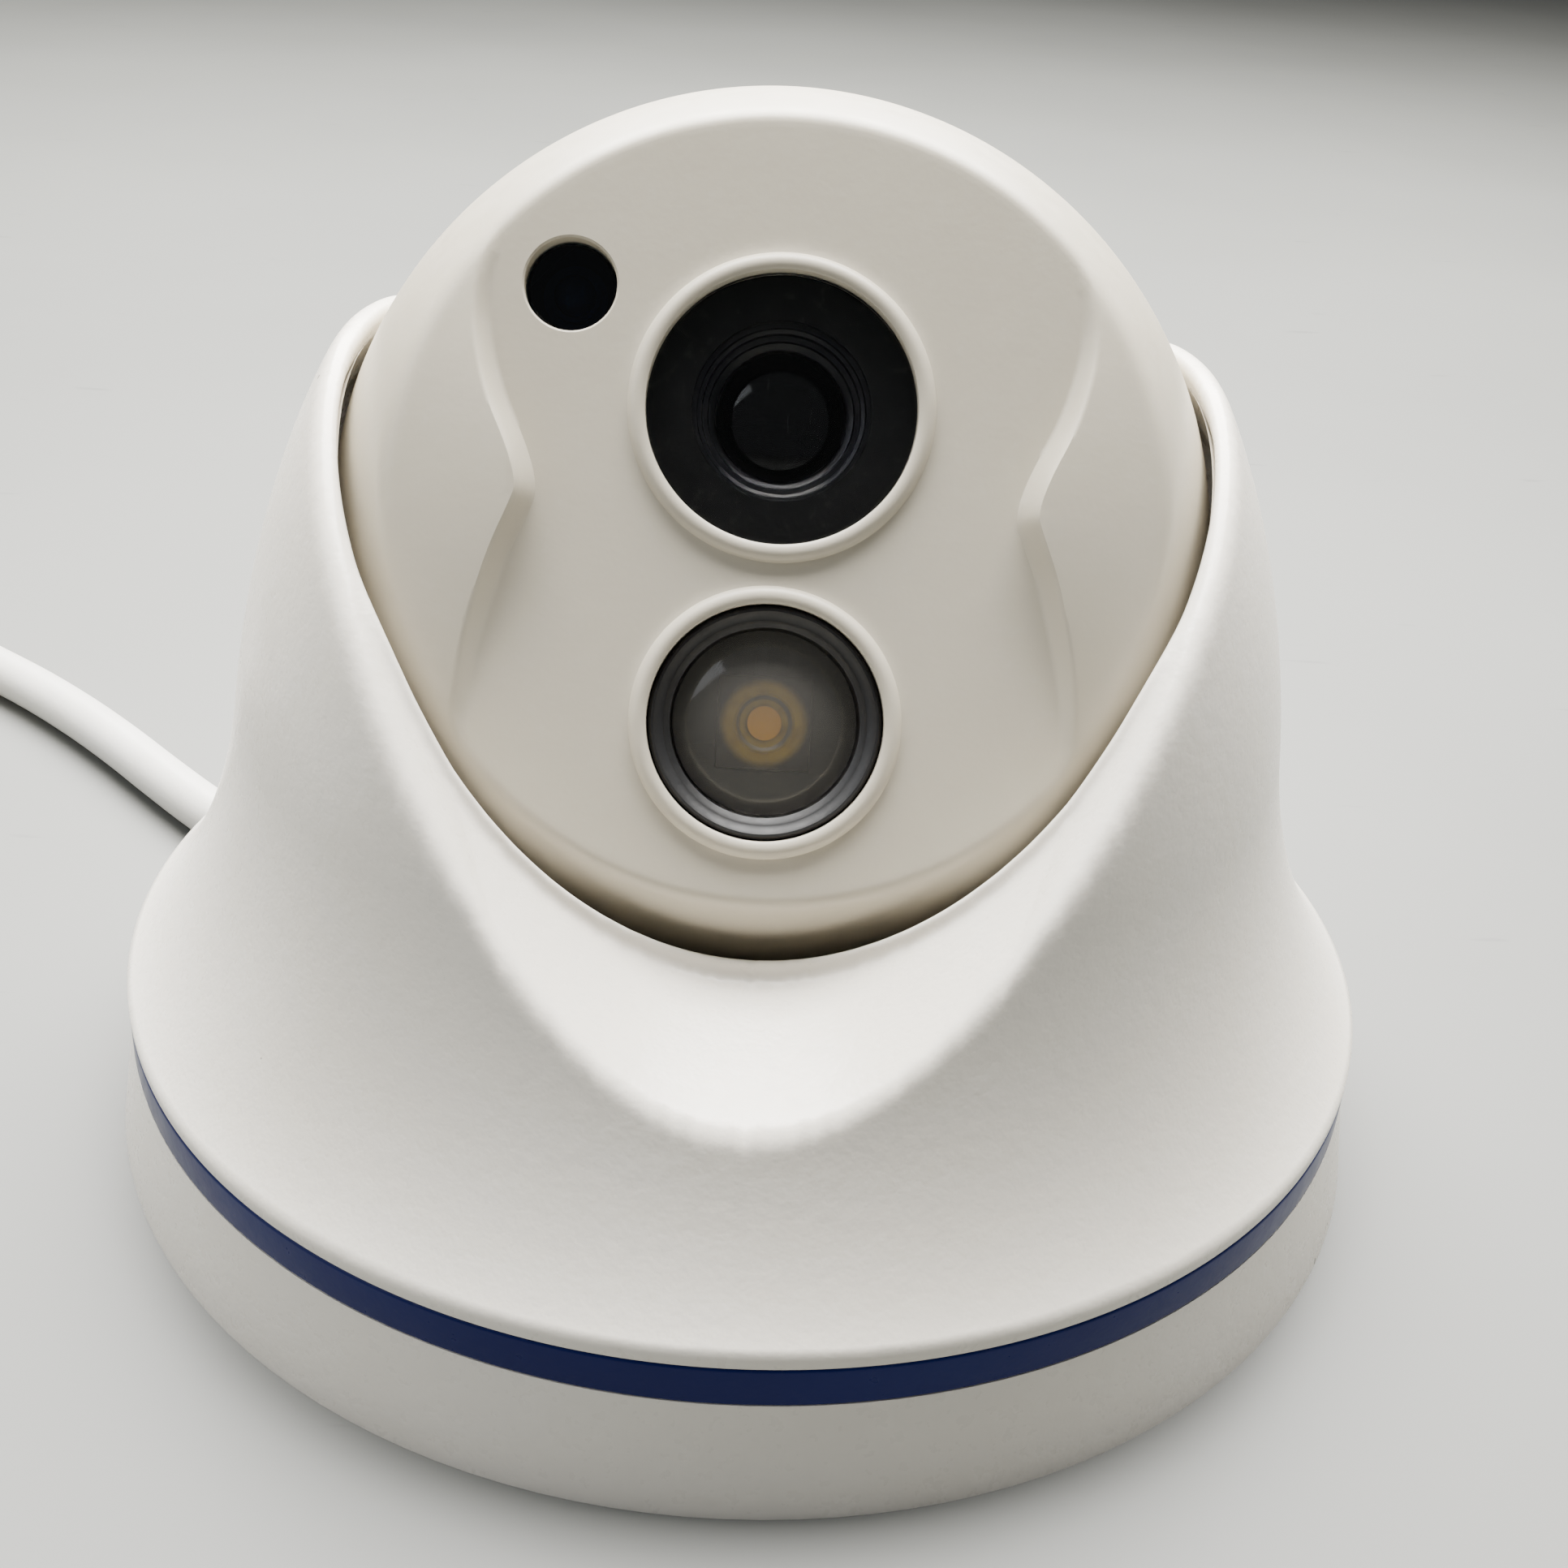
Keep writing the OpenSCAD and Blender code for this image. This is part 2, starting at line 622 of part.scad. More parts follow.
module filter_coil() color(brass_c)
    at_face([-solenoid_l / 2, lens_v - housing_v / 2 - solenoid_r - 0.2], main_board_top)
    translate([0, 0, solenoid_r]) rotate([0, 90, 0]) cylinder(r = solenoid_r, h = solenoid_l);

module filter_slide() color([0.25, 0.25, 0.27]) at_lens(slide_w) difference() {
    translate([-filter_travel - slide_end, -slide_v / 2, 0]) cube([slide_u, slide_v, slide_t]);
    for (u = [0, -filter_travel]) translate([u, 0, -1]) cylinder(r = filter_r, h = 3);
}

module filter_glass() color([0.35, 0.62, 0.66, 0.6]) at_lens(slide_w)
    for (u = [0, -filter_travel]) translate([u, 0, fit_gap])
        cylinder(r = filter_r - fit_gap / 2, h = slide_t - 2 * fit_gap);

module image_sensor() color([0.1, 0.1, 0.13]) at_lens(main_board_top)
    translate([-sensor_size[0] / 2, -sensor_size[1] / 2, 0]) cube(sensor_size);

// ---- Boards ----

module each_standoff() for (s = [-1, 1]) for (v = [hole_low_v, hole_high_v])
    translate([s * hole_u, v, 0]) children();

module main_board() color(board_c) in_ball() difference() {
    translate([-main_board_size / 2, main_board_v - main_board_size / 2, main_board_top - board_t])
        cube([main_board_size, main_board_size, board_t]);
    each_standoff() translate([0, 0, main_board_top - board_t - 1]) cylinder(d = 2.4, h = 4);
}

// Places and sizes of the chips and sockets on the back of the main board
chips = [[[-6, -3], [11, 11, 1.2]], [[-11, -11], [5, 5, 1]], [[8, 4], [4, 4, 1.4]]];
sockets = [[[-2, -13.6], [11, 5, 4.2]], [[-12, 9], [7, 4.4, 4.2]]];

module on_board_back(list) in_ball() for (c = list)
    translate([c[0][0], c[0][1], main_board_top - board_t - c[1][2]]) cube(c[1]);

module board_chips() color(black_c) on_board_back(chips);

module board_sockets() color(white_c) on_board_back(sockets);

module board_standoffs() color(brass_c) in_ball() each_standoff()
    translate([0, 0, main_board_top]) difference() {
        cylinder(r = standoff_r, h = lamp_board_top - board_t - main_board_top);
        translate([0, 0, -1]) cylinder(d = 2.2, h = 40);
    }

module board_screws() color(steel_c) in_ball() each_standoff() {
    translate([0, 0, main_board_top - board_t - 1.2]) cylinder(d = 3.8, h = 1.2);
    translate([0, 0, main_board_top - board_t - eps]) cylinder(d = 2, h = 6);
    translate([0, 0, lamp_board_top]) cylinder(d = 3.8, h = 1.2);
    translate([0, 0, lamp_board_top - board_t - 4]) cylinder(d = 2, h = board_t + 4 + eps);
}

// Lead from the grommet to its socket on the main board
harness_dir = [0, -sin(grommet_angle), -cos(grommet_angle)];
socket_at = [3.5, -11.1, main_board_top - board_t - sockets[0][1][2] - 0.4];
harness_points = [(ball_r - 0.6) * harness_dir, (ball_r - 4) * harness_dir,
    (ball_r - 7.5) * harness_dir + [0.6, 0, 0], socket_at + [-0.7, -1.2, -5],
    socket_at + [-0.1, -0.4, -2.5], socket_at];

module board_harness() color(black_c) in_ball() tube(harness_points, inner_d / 2 - 0.2, 8);

module lamp_board() color([0.12, 0.12, 0.13]) in_ball() difference() {
    translate([0, 0, lamp_board_top - board_t]) cylinder(r = lamp_board_r, h = board_t);
    translate([0, lens_v, lamp_board_top - 5]) cylinder(r = 8.2, h = 10);
    each_shell_screw() translate([0, 0, lamp_board_top - 5])
        cylinder(r = shell_boss_r + 0.5, h = 10);
    each_standoff() translate([0, 0, lamp_board_top - 5]) cylinder(d = 2.4, h = 10);
    for (p = lamp_boss_pos) translate([p[0], p[1], lamp_board_top - 5]) cylinder(d = 2.2, h = 10);
}

module lamp_board_screws() color(steel_c) in_ball() for (p = lamp_boss_pos)
    translate([p[0], p[1], lamp_board_top]) {
        translate([0, 0, -board_t - 1.1]) cylinder(d = 3.4, h = 1.1);
        translate([0, 0, -board_t - eps]) cylinder(d = 1.7, h = board_t + 2.2);
    }

lamp_r = lamp_d / 2 - fit_gap;
lamp_lens_r = 5.7;
lamp_seat = 1;
lamp_bore_r = 4.4;
lamp_lens_h = 3.6;
lamp_bulge_r = 11;
die_r = 1;
package_w = 5.2;

module lamp_package() color([0.9, 0.72, 0.3]) at_lamp(lamp_board_top) {
    translate([-package_w / 2, -package_w / 2, 0]) cube([package_w, package_w, 0.5]);
    cylinder(r = die_r, h = 0.9);
}

module lamp_holder() color(black_c) at_lamp(lamp_board_top) difference() {
    holder_h = face_w - lamp_board_top - 0.2;
    cylinder(r = lamp_r, h = holder_h);
    translate([0, 0, -1]) cylinder(r = lamp_bore_r, h = 20);
    translate([0, 0, lamp_seat]) cylinder(r = lamp_lens_r + fit_gap, h = 20);
    translate([0, 0, holder_h - 0.8])
        cylinder(r1 = lamp_lens_r + fit_gap, r2 = lamp_r - 0.5, h = 0.8 + eps);
}

module lamp_lens() color(glass_c) at_lamp(lamp_board_top + lamp_seat) {
    cylinder(r = lamp_lens_r, h = 2);
    intersection() {
        cylinder(r = lamp_lens_r, h = lamp_lens_h + 1);
        translate([0, 0, lamp_lens_h - lamp_bulge_r]) sphere(r = lamp_bulge_r);
    }
}

module light_sensor() color([0.2, 0.24, 0.34]) at_face(eye_pos, lamp_board_top) {
    cylinder(r = 2, h = 0.8);
    cylinder(r = 1.6, h = 1.4);
    translate([0, 0, 1.4]) sphere(r = 1.3);
}

module sensor_window() color([0.1, 0.12, 0.16, 0.6]) at_face(eye_pos, eye_top - 0.8)
    cylinder(d = eye_d - 2 * fit_gap, h = 0.8);

// ---- Cable ----

module cord() color(cable_c) tube(cord_points, cord_d / 2, 10);

module cord_coil() color(cable_c) translate([coil_at[0], coil_at[1], tie_t])
    rotate_extrude() translate([coil_r - cord_d / 2, 0]) square([cord_d, coil_h]);

module cord_tail() color(cable_c) tube(tail_points, cord_d / 2, 10);

module coil_tie() color(black_c) translate([coil_at[0], coil_at[1] - coil_r, 0]) difference() {
    translate([-1.6, -cord_d / 2 - tie_t - fit_gap, 0])
        cube([3.2, cord_d + 2 * tie_t + 2 * fit_gap, coil_h + 2 * tie_t + fit_gap]);
    translate([-3, -cord_d / 2 - fit_gap, tie_t])
        cube([6, cord_d + 2 * fit_gap, coil_h + fit_gap]);
}

module lead_splitter() color(cable_c) translate([split_at[0] - split_w / 2, split_end_y, 0])
    cube([split_w, split_l, split_h]);

module video_lead() color(cable_c) tube(video_points, lead_d / 2, 8);

module power_lead() color(cable_c) tube(power_points, lead_d / 2, 8);

module along_video(y) translate([video_at[0], video_at[1] - y, video_at[2]])
    rotate([90, 0, 0]) children();

module along_power(y) translate([power_at[0], power_at[1] - y, power_at[2]])
    rotate([90, 0, 0]) children();

bnc_r = 4.8;
bnc_bore_r = 4.1;

module video_boot() color(white_c) along_video(0) cylinder(r = boot_r, h = video_boot_l);

module video_shell() color(steel_c) along_video(video_boot_l) difference() {
    union() {
        cylinder(r = bnc_r, h = video_shell_l);
        cylinder(r = boot_r, h = 2);
        for (s = [-1, 1]) translate([s * (bnc_r - 0.5), 0, video_shell_l - 4])
            rotate([0, s * 90, 0]) cylinder(r = 1, h = 1.5);
    }
    translate([0, 0, 4]) cylinder(r = bnc_bore_r, h = 20);
}

module video_insulator() color([0.95, 0.95, 0.93]) along_video(video_boot_l + 4) difference() {
    cylinder(r = 2.4, h = video_shell_l - 6);
    translate([0, 0, 1]) cylinder(r = 0.9, h = 20);
}

module video_contact() color(brass_c) along_video(video_boot_l + 5) difference() {
    cylinder(r = 0.85, h = video_shell_l - 7.4);
    translate([0, 0, 2]) cylinder(r = 0.5, h = 20);
}

module power_jack() color(black_c) along_power(0) difference() {
    cylinder(r = jack_r, h = power_jack_l);
    translate([0, 0, power_jack_l - jack_bore_l]) cylinder(r = jack_bore_r, h = 20);
}

module power_contact() color(steel_c) along_power(power_jack_l - jack_bore_l)
    cylinder(r = 1.05, h = jack_bore_l - 1);

mounting_base();
trim_ring();
cable_gland();
cable_clamp();
clamp_screws();
inner_cable();
seat_ring();
top_cover();
ball_front_shell();
ball_rear_shell();
shell_screws();
ball_grommet();
lens_window();
window_gasket();
lens_barrel();
lens_front_glass();
lens_lock_ring();
lens_mount();
filter_housing();
filter_coil();
filter_slide();
filter_glass();
image_sensor();
main_board();
board_chips();
board_sockets();
board_standoffs();
board_screws();
board_harness();
lamp_board();
lamp_board_screws();
lamp_package();
lamp_lens();
lamp_holder();
light_sensor();
sensor_window();
cord();
cord_coil();
cord_tail();
coil_tie();
lead_splitter();
video_lead();
power_lead();
video_boot();
video_shell();
video_insulator();
video_contact();
power_jack();
power_contact();
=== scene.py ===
import math

import bpy
import numpy as np
from mathutils import Matrix, Vector
from mathutils.geometry import delaunay_2d_cdt


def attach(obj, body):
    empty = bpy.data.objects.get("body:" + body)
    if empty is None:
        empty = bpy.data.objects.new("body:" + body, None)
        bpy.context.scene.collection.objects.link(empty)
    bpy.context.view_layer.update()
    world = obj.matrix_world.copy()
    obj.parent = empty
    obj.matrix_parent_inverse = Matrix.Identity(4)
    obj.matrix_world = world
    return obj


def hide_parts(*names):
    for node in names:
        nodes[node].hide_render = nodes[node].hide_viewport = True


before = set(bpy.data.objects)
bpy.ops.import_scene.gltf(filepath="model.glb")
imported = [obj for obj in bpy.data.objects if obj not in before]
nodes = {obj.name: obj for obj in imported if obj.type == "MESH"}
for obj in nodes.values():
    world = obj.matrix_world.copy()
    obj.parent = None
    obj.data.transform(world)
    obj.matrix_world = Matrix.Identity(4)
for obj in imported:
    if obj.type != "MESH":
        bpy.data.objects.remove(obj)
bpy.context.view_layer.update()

# ---- Table top, light and camera ----
# The camera stands on a pale laminate table that runs back into a soft grey wall.
# Daylight comes in from above and behind, and a weaker, cooler fill from the left.
mm = 0.001
floor_near, floor_far, wall_bend, wall_h = -1.2, 0.9, 0.35, 1.2


def add(tree, kind, inputs=(), **settings):
    """A shader node with its settings, and its inputs set to a value or linked to a socket."""
    node = tree.nodes.new(kind)
    for key, value in settings.items():
        setattr(node, key, value)
    for key, value in dict(inputs).items():
        if isinstance(value, bpy.types.NodeSocket):
            tree.links.new(value, node.inputs[key])
        else:
            node.inputs[key].default_value = value
    return node


def blend_colours(tree, factor, first, second):
    """Colour socket that goes from the first colour to the second as the factor rises."""
    mix = add(tree, "ShaderNodeMix", {0: factor, 6: first, 7: second}, data_type="RGBA")
    return mix.outputs[2]


def maths(tree, operation, a, b=0.0):
    """Value socket of one arithmetic step."""
    return add(tree, "ShaderNodeMath", {0: a, 1: b}, operation=operation).outputs[0]


def fade(tree, value, low, high):
    """Value socket that rises smoothly from 0 at low to 1 at high."""
    return add(tree, "ShaderNodeMapRange", {"Value": value, "From Min": low, "From Max": high},
               interpolation_type="SMOOTHSTEP").outputs[0]


def noise(tree, where, scale, detail=2.0, roughness=0.5):
    """Value socket of a noise texture at a point."""
    return add(tree, "ShaderNodeTexNoise", {"Vector": where, "Scale": scale, "Detail": detail,
                                            "Roughness": roughness}).outputs[0]


def own_point(tree):
    """The point's place in the object's own frame."""
    return add(tree, "ShaderNodeTexCoord").outputs["Object"]


def raise_skin(tree, shader, height, depth):
    """Bumps a shader's surface by a height of 0 to 1 times a depth in metres."""
    bump = add(tree, "ShaderNodeBump", {"Height": height, "Strength": 1.0, "Distance": depth})
    tree.links.new(bump.outputs[0], shader.inputs["Normal"])


def new_finish(name):
    """An empty material with its node tree and its Principled shader."""
    finish = bpy.data.materials.new(name)
    finish.use_nodes = True
    tree = finish.node_tree
    return finish, tree, tree.nodes["Principled BSDF"]


def mesh_piece(name, points, faces, finish, sharp=35.0):
    """A mesh object made of points and faces, smooth except where faces meet at a sharp angle."""
    mesh = bpy.data.meshes.new(name)
    mesh.from_pydata([tuple(p) for p in points], [], [tuple(f) for f in faces])
    mesh.validate()
    mesh.shade_smooth()
    mesh.set_sharp_from_angle(angle=math.radians(sharp))
    mesh.materials.append(finish)
    piece = bpy.data.objects.new(name, mesh)
    bpy.context.scene.collection.objects.link(piece)
    return piece


laminate, tree, shader = new_finish("pale_laminate")
where = own_point(tree)
clouds = noise(tree, where, 9.0, 4.0)
stretched = add(tree, "ShaderNodeMapping", {"Vector": where, "Scale": (60.0, 420.0, 1.0),
                                            "Rotation": (0.0, 0.0, 0.9)}).outputs[0]
hairs = noise(tree, stretched, 1.0)
table_tone = blend_colours(tree, clouds, (0.108, 0.110, 0.102, 1), (0.145, 0.148, 0.138, 1))
table_tone = blend_colours(tree, maths(tree, "MULTIPLY", fade(tree, hairs, 0.71, 0.76), 0.35),
                           table_tone, (0.06, 0.06, 0.06, 1))
tree.links.new(table_tone, shader.inputs["Base Color"])
shader.inputs["Roughness"].default_value = 0.55

sweep = [(floor_near, 0.0)]
for i in range(13):
    turn = math.radians(90 * i / 12)
    sweep.append((floor_far + wall_bend * math.sin(turn), wall_bend * (1 - math.cos(turn))))
sweep.append((floor_far + wall_bend, wall_h))
floor_points = [(x, y, z) for y, z in sweep for x in (-1.6, 1.6)]
floor_faces = [(2 * i, 2 * i + 1, 2 * i + 3, 2 * i + 2) for i in range(len(sweep) - 1)]
mesh_piece("table_top", floor_points, floor_faces, laminate)

world = bpy.context.scene.world or bpy.data.worlds.new("daylight")
bpy.context.scene.world = world
world.use_nodes = True
sky = world.node_tree.nodes["Background"]
sky.inputs["Color"].default_value = (0.93, 0.96, 1.0, 1)
sky.inputs["Strength"].default_value = 0.21

aim = Vector((0.0, 0.0, 0.035))
lamps = [("window_light", (0.0, 0.22, 0.42), 0.5, 29.0, (1.0, 0.985, 0.96)),
         ("room_fill", (-0.55, -0.1, 0.5), 0.5, 2.0, (0.93, 0.96, 1.0))]
for name, place, width, watts, tint in lamps:
    light = bpy.data.lights.new(name, "AREA")
    light.size, light.energy, light.color = width, watts, tint
    holder = bpy.data.objects.new(name, light)
    holder.location = place
    holder.rotation_euler = (aim - Vector(place)).to_track_quat("-Z", "Y").to_euler()
    bpy.context.scene.collection.objects.link(holder)

look_at = Vector((3.34, 42.42, 0.0)) * mm
reach, rise, swing, roll = 193.44 * mm, math.radians(29.22), math.radians(-1.73), math.radians(3.95)
back = Vector((math.sin(swing) * math.cos(rise), -math.cos(swing) * math.cos(rise), math.sin(rise)))
level = (-back).cross(Vector((0, 0, 1))).normalized()
over = level.cross(-back)
side = math.cos(roll) * level + math.sin(roll) * over
over = math.cos(roll) * over - math.sin(roll) * level
camera_data = bpy.data.cameras.new("product_camera")
camera_data.lens, camera_data.sensor_width = 44.72, 36.0
camera_data.clip_start, camera_data.clip_end = 0.01, 20.0
camera = bpy.data.objects.new("product_camera", camera_data)
turned_to = Matrix((side, over, back)).transposed().to_4x4()
camera.matrix_world = Matrix.Translation(look_at + back * reach) @ turned_to
bpy.context.scene.collection.objects.link(camera)
bpy.context.scene.camera = camera

# ---- Mounting base ----
# One injection-moulded white ABS plate with a drafted outer wall, three screw bosses, the cup
# that carries the ball and the bayonet lugs. Three screws through its floor hold it to a ceiling.


def effect_group(name, inputs, outputs):
    """A shader node group with named sockets; returns its tree, input node and output node."""
    group = bpy.data.node_groups.new(name, "ShaderNodeTree")
    for label, kind, value in inputs:
        group.interface.new_socket(label, in_out="INPUT", socket_type=kind).default_value = value
    for label, kind in outputs:
        group.interface.new_socket(label, in_out="OUTPUT", socket_type=kind)
    return group, group.nodes.new("NodeGroupInput"), group.nodes.new("NodeGroupOutput")


# Slow drift of tone through a moulding, from fresh to slightly yellowed or handled plastic.
tone_drift, given, result = effect_group(
    "tone_drift",
    [("Fresh", "NodeSocketColor", (1, 1, 1, 1)), ("Aged", "NodeSocketColor", (0.8, 0.8, 0.8, 1)),
     ("Scale", "NodeSocketFloat", 30.0)],
    [("Colour", "NodeSocketColor")])
where = own_point(tone_drift)
cloud = noise(tone_drift, where, given.outputs["Scale"], 3.0, 0.55)
drift = blend_colours(tone_drift, fade(tone_drift, cloud, 0.35, 0.7),
                      given.outputs["Fresh"], given.outputs["Aged"])
tone_drift.links.new(drift, result.inputs["Colour"])

# Height of a moulded skin: a soft ripple from the mould with finer spark-eroded grain on it.
mould_grain, given, result = effect_group(
    "mould_grain",
    [("Ripple Scale", "NodeSocketFloat", 900.0), ("Grain Scale", "NodeSocketFloat", 3000.0),
     ("Grain Share", "NodeSocketFloat", 0.4)],
    [("Height", "NodeSocketFloat")])
where = own_point(mould_grain)
ripple = noise(mould_grain, where, given.outputs["Ripple Scale"])
grain = noise(mould_grain, where, given.outputs["Grain Scale"], 1.0)
height = maths(mould_grain, "ADD", ripple,
               maths(mould_grain, "MULTIPLY", grain, given.outputs["Grain Share"]))
mould_grain.links.new(height, result.inputs["Height"])

# Small dark flecks and pits, a few of each size, scattered at random.
flecks, given, result = effect_group(
    "flecks",
    [("Scale", "NodeSocketFloat", 120.0), ("Size", "NodeSocketFloat", 0.03)],
    [("Mask", "NodeSocketFloat")])
where = own_point(flecks)
cells = add(flecks, "ShaderNodeTexVoronoi", {"Vector": where, "Scale": given.outputs["Scale"]})
chance = add(flecks, "ShaderNodeSeparateColor", {"Color": cells.outputs["Color"]}).outputs[0]
radius = maths(flecks, "MULTIPLY", maths(flecks, "POWER", chance, 6.0), given.outputs["Size"])
spot = maths(flecks, "SUBTRACT", radius, cells.outputs["Distance"])
flecks.links.new(fade(flecks, spot, 0.0, 0.006), result.inputs["Mask"])

# Dust that has settled on what faces up, broken into a fine scatter.
settled_dust, given, result = effect_group(
    "settled_dust",
    [("Scale", "NodeSocketFloat", 900.0), ("Amount", "NodeSocketFloat", 0.3)],
    [("Mask", "NodeSocketFloat")])
coords = add(settled_dust, "ShaderNodeTexCoord")
upward = add(settled_dust, "ShaderNodeSeparateXYZ", {"Vector": coords.outputs["Normal"]}).outputs[2]
scatter = noise(settled_dust, coords.outputs["Object"], given.outputs["Scale"], 4.0, 0.7)
lying = maths(settled_dust, "MULTIPLY", fade(settled_dust, upward, -0.1, 0.9),
              fade(settled_dust, scatter, 0.52, 0.72))
settled_dust.links.new(maths(settled_dust, "MULTIPLY", lying, given.outputs["Amount"]),
                       result.inputs["Mask"])


def effect(tree, group, inputs):
    """Output socket of an effect group placed in a material with its own values."""
    node = add(tree, "ShaderNodeGroup", inputs={}, node_tree=group)
    for key, value in inputs.items():
        node.inputs[key].default_value = value
    return node.outputs[0]


def moulded(name, fresh, aged, roughness, ripple=(900.0, 2800.0, 0.35), depth=0.03, fleck=0.10,
            dust=0.15, gloss_coat=0.0, glow=0.0, shine=0.5):
    """Moulded plastic or rubber: drifting tone, mould grain, flecks and settled dust."""
    finish, tree, shader = new_finish(name)
    tone = effect(tree, tone_drift, {"Fresh": (*fresh, 1), "Aged": (*aged, 1), "Scale": 28.0})
    spots = effect(tree, flecks, {"Scale": 170.0, "Size": 0.45 * fleck})
    dusty = effect(tree, settled_dust, {"Scale": 1100.0, "Amount": dust})
    tone = blend_colours(tree, maths(tree, "MULTIPLY", spots, 0.75), tone, (0.10, 0.08, 0.06, 1))
    tone = blend_colours(tree, dusty, tone, (0.62, 0.60, 0.56, 1))
    tree.links.new(tone, shader.inputs["Base Color"])
    skin = effect(tree, mould_grain, {"Ripple Scale": ripple[0], "Grain Scale": ripple[1],
                                      "Grain Share": ripple[2]})
    rub = add(tree, "ShaderNodeMapRange", {"Value": skin, "From Min": 0.3, "From Max": 1.0,
                                           "To Min": roughness * 0.85, "To Max": roughness * 1.2})
    tree.links.new(maths(tree, "ADD", rub.outputs[0], maths(tree, "MULTIPLY", dusty, 0.3)),
                   shader.inputs["Roughness"])
    raise_skin(tree, shader, skin, depth * mm)
    shader.inputs["Coat Weight"].default_value = gloss_coat
    shader.inputs["Coat Roughness"].default_value = 0.12
    shader.inputs["Specular IOR Level"].default_value = shine
    shader.inputs["Subsurface Weight"].default_value = glow
    shader.inputs["Subsurface Radius"].default_value = (1.0, 0.9, 0.75)
    shader.inputs["Subsurface Scale"].default_value = 0.6 * mm
    return finish


def finish_node(name, finish, sharp=None):
    """Gives a CAD node its material, and smooth shading up to an angle if one is given."""
    piece = nodes[name]
    piece.data.materials.clear()
    piece.data.materials.append(finish)
    if sharp:
        piece.data.shade_smooth()
        piece.data.set_sharp_from_angle(angle=math.radians(sharp))
    return piece


white_abs = moulded("white_abs", (0.84, 0.795, 0.71), (0.80, 0.75, 0.655), 0.28, glow=0.06)
finish_node("mounting_base", white_abs)

# ---- Trim ring ----
# A navy ring pressed between the base wall and the cover, glossy, with a fine moulded edge.
navy_abs = moulded("navy_abs", (0.001, 0.006, 0.085), (0.002, 0.010, 0.11), 0.3, depth=0.015,
                   fleck=0.05, dust=0.02, shine=0.18)
rim_r, trim_low, trim_high = 45.7, 8.0, 10.8


def turned(name, profile, finish, steps=192, axis=None, sharp=35.0, closed=False):
    """A piece of revolution from a profile of (radius, height) in millimetres.

    The axis is a matrix from the piece's own frame to the object's. A radius of 0 ends the profile
    in one point on the axis."""
    points, faces, rows = [], [], []
    for r, h in profile:
        if r < 1e-6:
            rows.append([len(points)])
            points.append((0.0, 0.0, h * mm))
            continue
        rows.append(range(len(points), len(points) + steps))
        for k in range(steps):
            turn = 2 * math.pi * k / steps
            points.append((r * math.cos(turn) * mm, r * math.sin(turn) * mm, h * mm))
    pairs = list(zip(rows, rows[1:]))
    if closed:
        pairs.append((rows[-1], rows[0]))
    for low, high in pairs:
        for k in range(steps):
            j = (k + 1) % steps
            if len(low) == 1:
                faces.append((low[0], high[j], high[k]))
            elif len(high) == 1:
                faces.append((low[k], low[j], high[0]))
            else:
                faces.append((low[k], low[j], high[j], high[k]))
    if axis is not None:
        points = [tuple(axis @ Vector(p)) for p in points]
    return mesh_piece(name, points, faces, finish, sharp)


def stand_for(piece, body, slot_name, *replaced):
    """Rides a body and stands for CAD nodes, which it hides; the slot name is not used."""
    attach(piece, body)
    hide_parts(*replaced)
    return piece


def soft_corners(corners, radius, steps=4):
    """A closed profile with its corners rounded by arcs of about the given radius."""
    rounded = []
    for i, corner in enumerate(corners):
        before, after = Vector(corners[i - 1]), Vector(corners[(i + 1) % len(corners)])
        corner = Vector(corner)
        to_before, to_after = before - corner, after - corner
        reach = min(radius, 0.45 * to_before.length, 0.45 * to_after.length)
        start = corner + to_before.normalized() * reach
        end = corner + to_after.normalized() * reach
        for k in range(steps + 1):
            t = k / steps
            rounded.append(tuple((1 - t) ** 2 * start + 2 * (1 - t) * t * corner + t ** 2 * end))
    return rounded


trim_profile = soft_corners([(rim_r - 2, trim_low), (rim_r, trim_low), (rim_r, trim_high),
                             (rim_r - 2, trim_high)], 0.25)
trim_ring = turned("trim_band", trim_profile, navy_abs, steps=256, closed=True)
stand_for(trim_ring, "base", "trim_plastic", "trim_ring")

# ---- Cover ----
# The visible housing: one white ABS moulding that flares down to the base and closes round the ball
# in a collar. Its front is scooped out so that the lens can look down. It twists off the base.
foot_z, band_h = 10.8, 1.2
waist_r, waist_z, collar_r, collar_z = 36.8, 32.0, 28.47, 57.4
ball_centre, ball_r, bore_r, lip_shift = 43.0, 29.79, 30.4, 1.4
scoop_floor, scoop_y, scoop_tilt, scoop_curve = 25.7, -24.27, math.tan(math.radians(12)), 0.0332
flare = [(rim_r, foot_z + band_h), (rim_r - 3.2, foot_z + 4.2), (waist_r + 1.5, waist_z - 10),
         (waist_r, waist_z)]
neck = [(waist_r, waist_z), (waist_r - 0.9, waist_z + 7), (waist_r - 3.2, waist_z + 17),
        (collar_r, collar_z)]


def cubic(corners, steps):
    """Points of a cubic curve with four control points."""
    t = np.linspace(0, 1, steps)[:, None]
    a, b, c, d = (np.array(p, float) for p in corners)
    return (1 - t) ** 3 * a + 3 * (1 - t) ** 2 * t * b + 3 * (1 - t) * t ** 2 * c + t ** 3 * d


outline = np.vstack([[rim_r, foot_z - 3], cubic(flare, 80), cubic(neck, 80)[1:]])
outline = np.vstack([outline, [outline[-1] + (outline[-1] - outline[-2]) * 30]])


def soft_max(a, b, width):
    """The larger of two fields, rounded where they are within the width of each other."""
    near = np.maximum(width - np.abs(a - b), 0) / width
    return np.maximum(a, b) + near ** 2 * width / 4


def ramp(x, low, high):
    """Smooth step from 0 at low to 1 at high."""
    t = np.clip((x - low) / (high - low), 0, 1)
    return t * t * (3 - 2 * t)


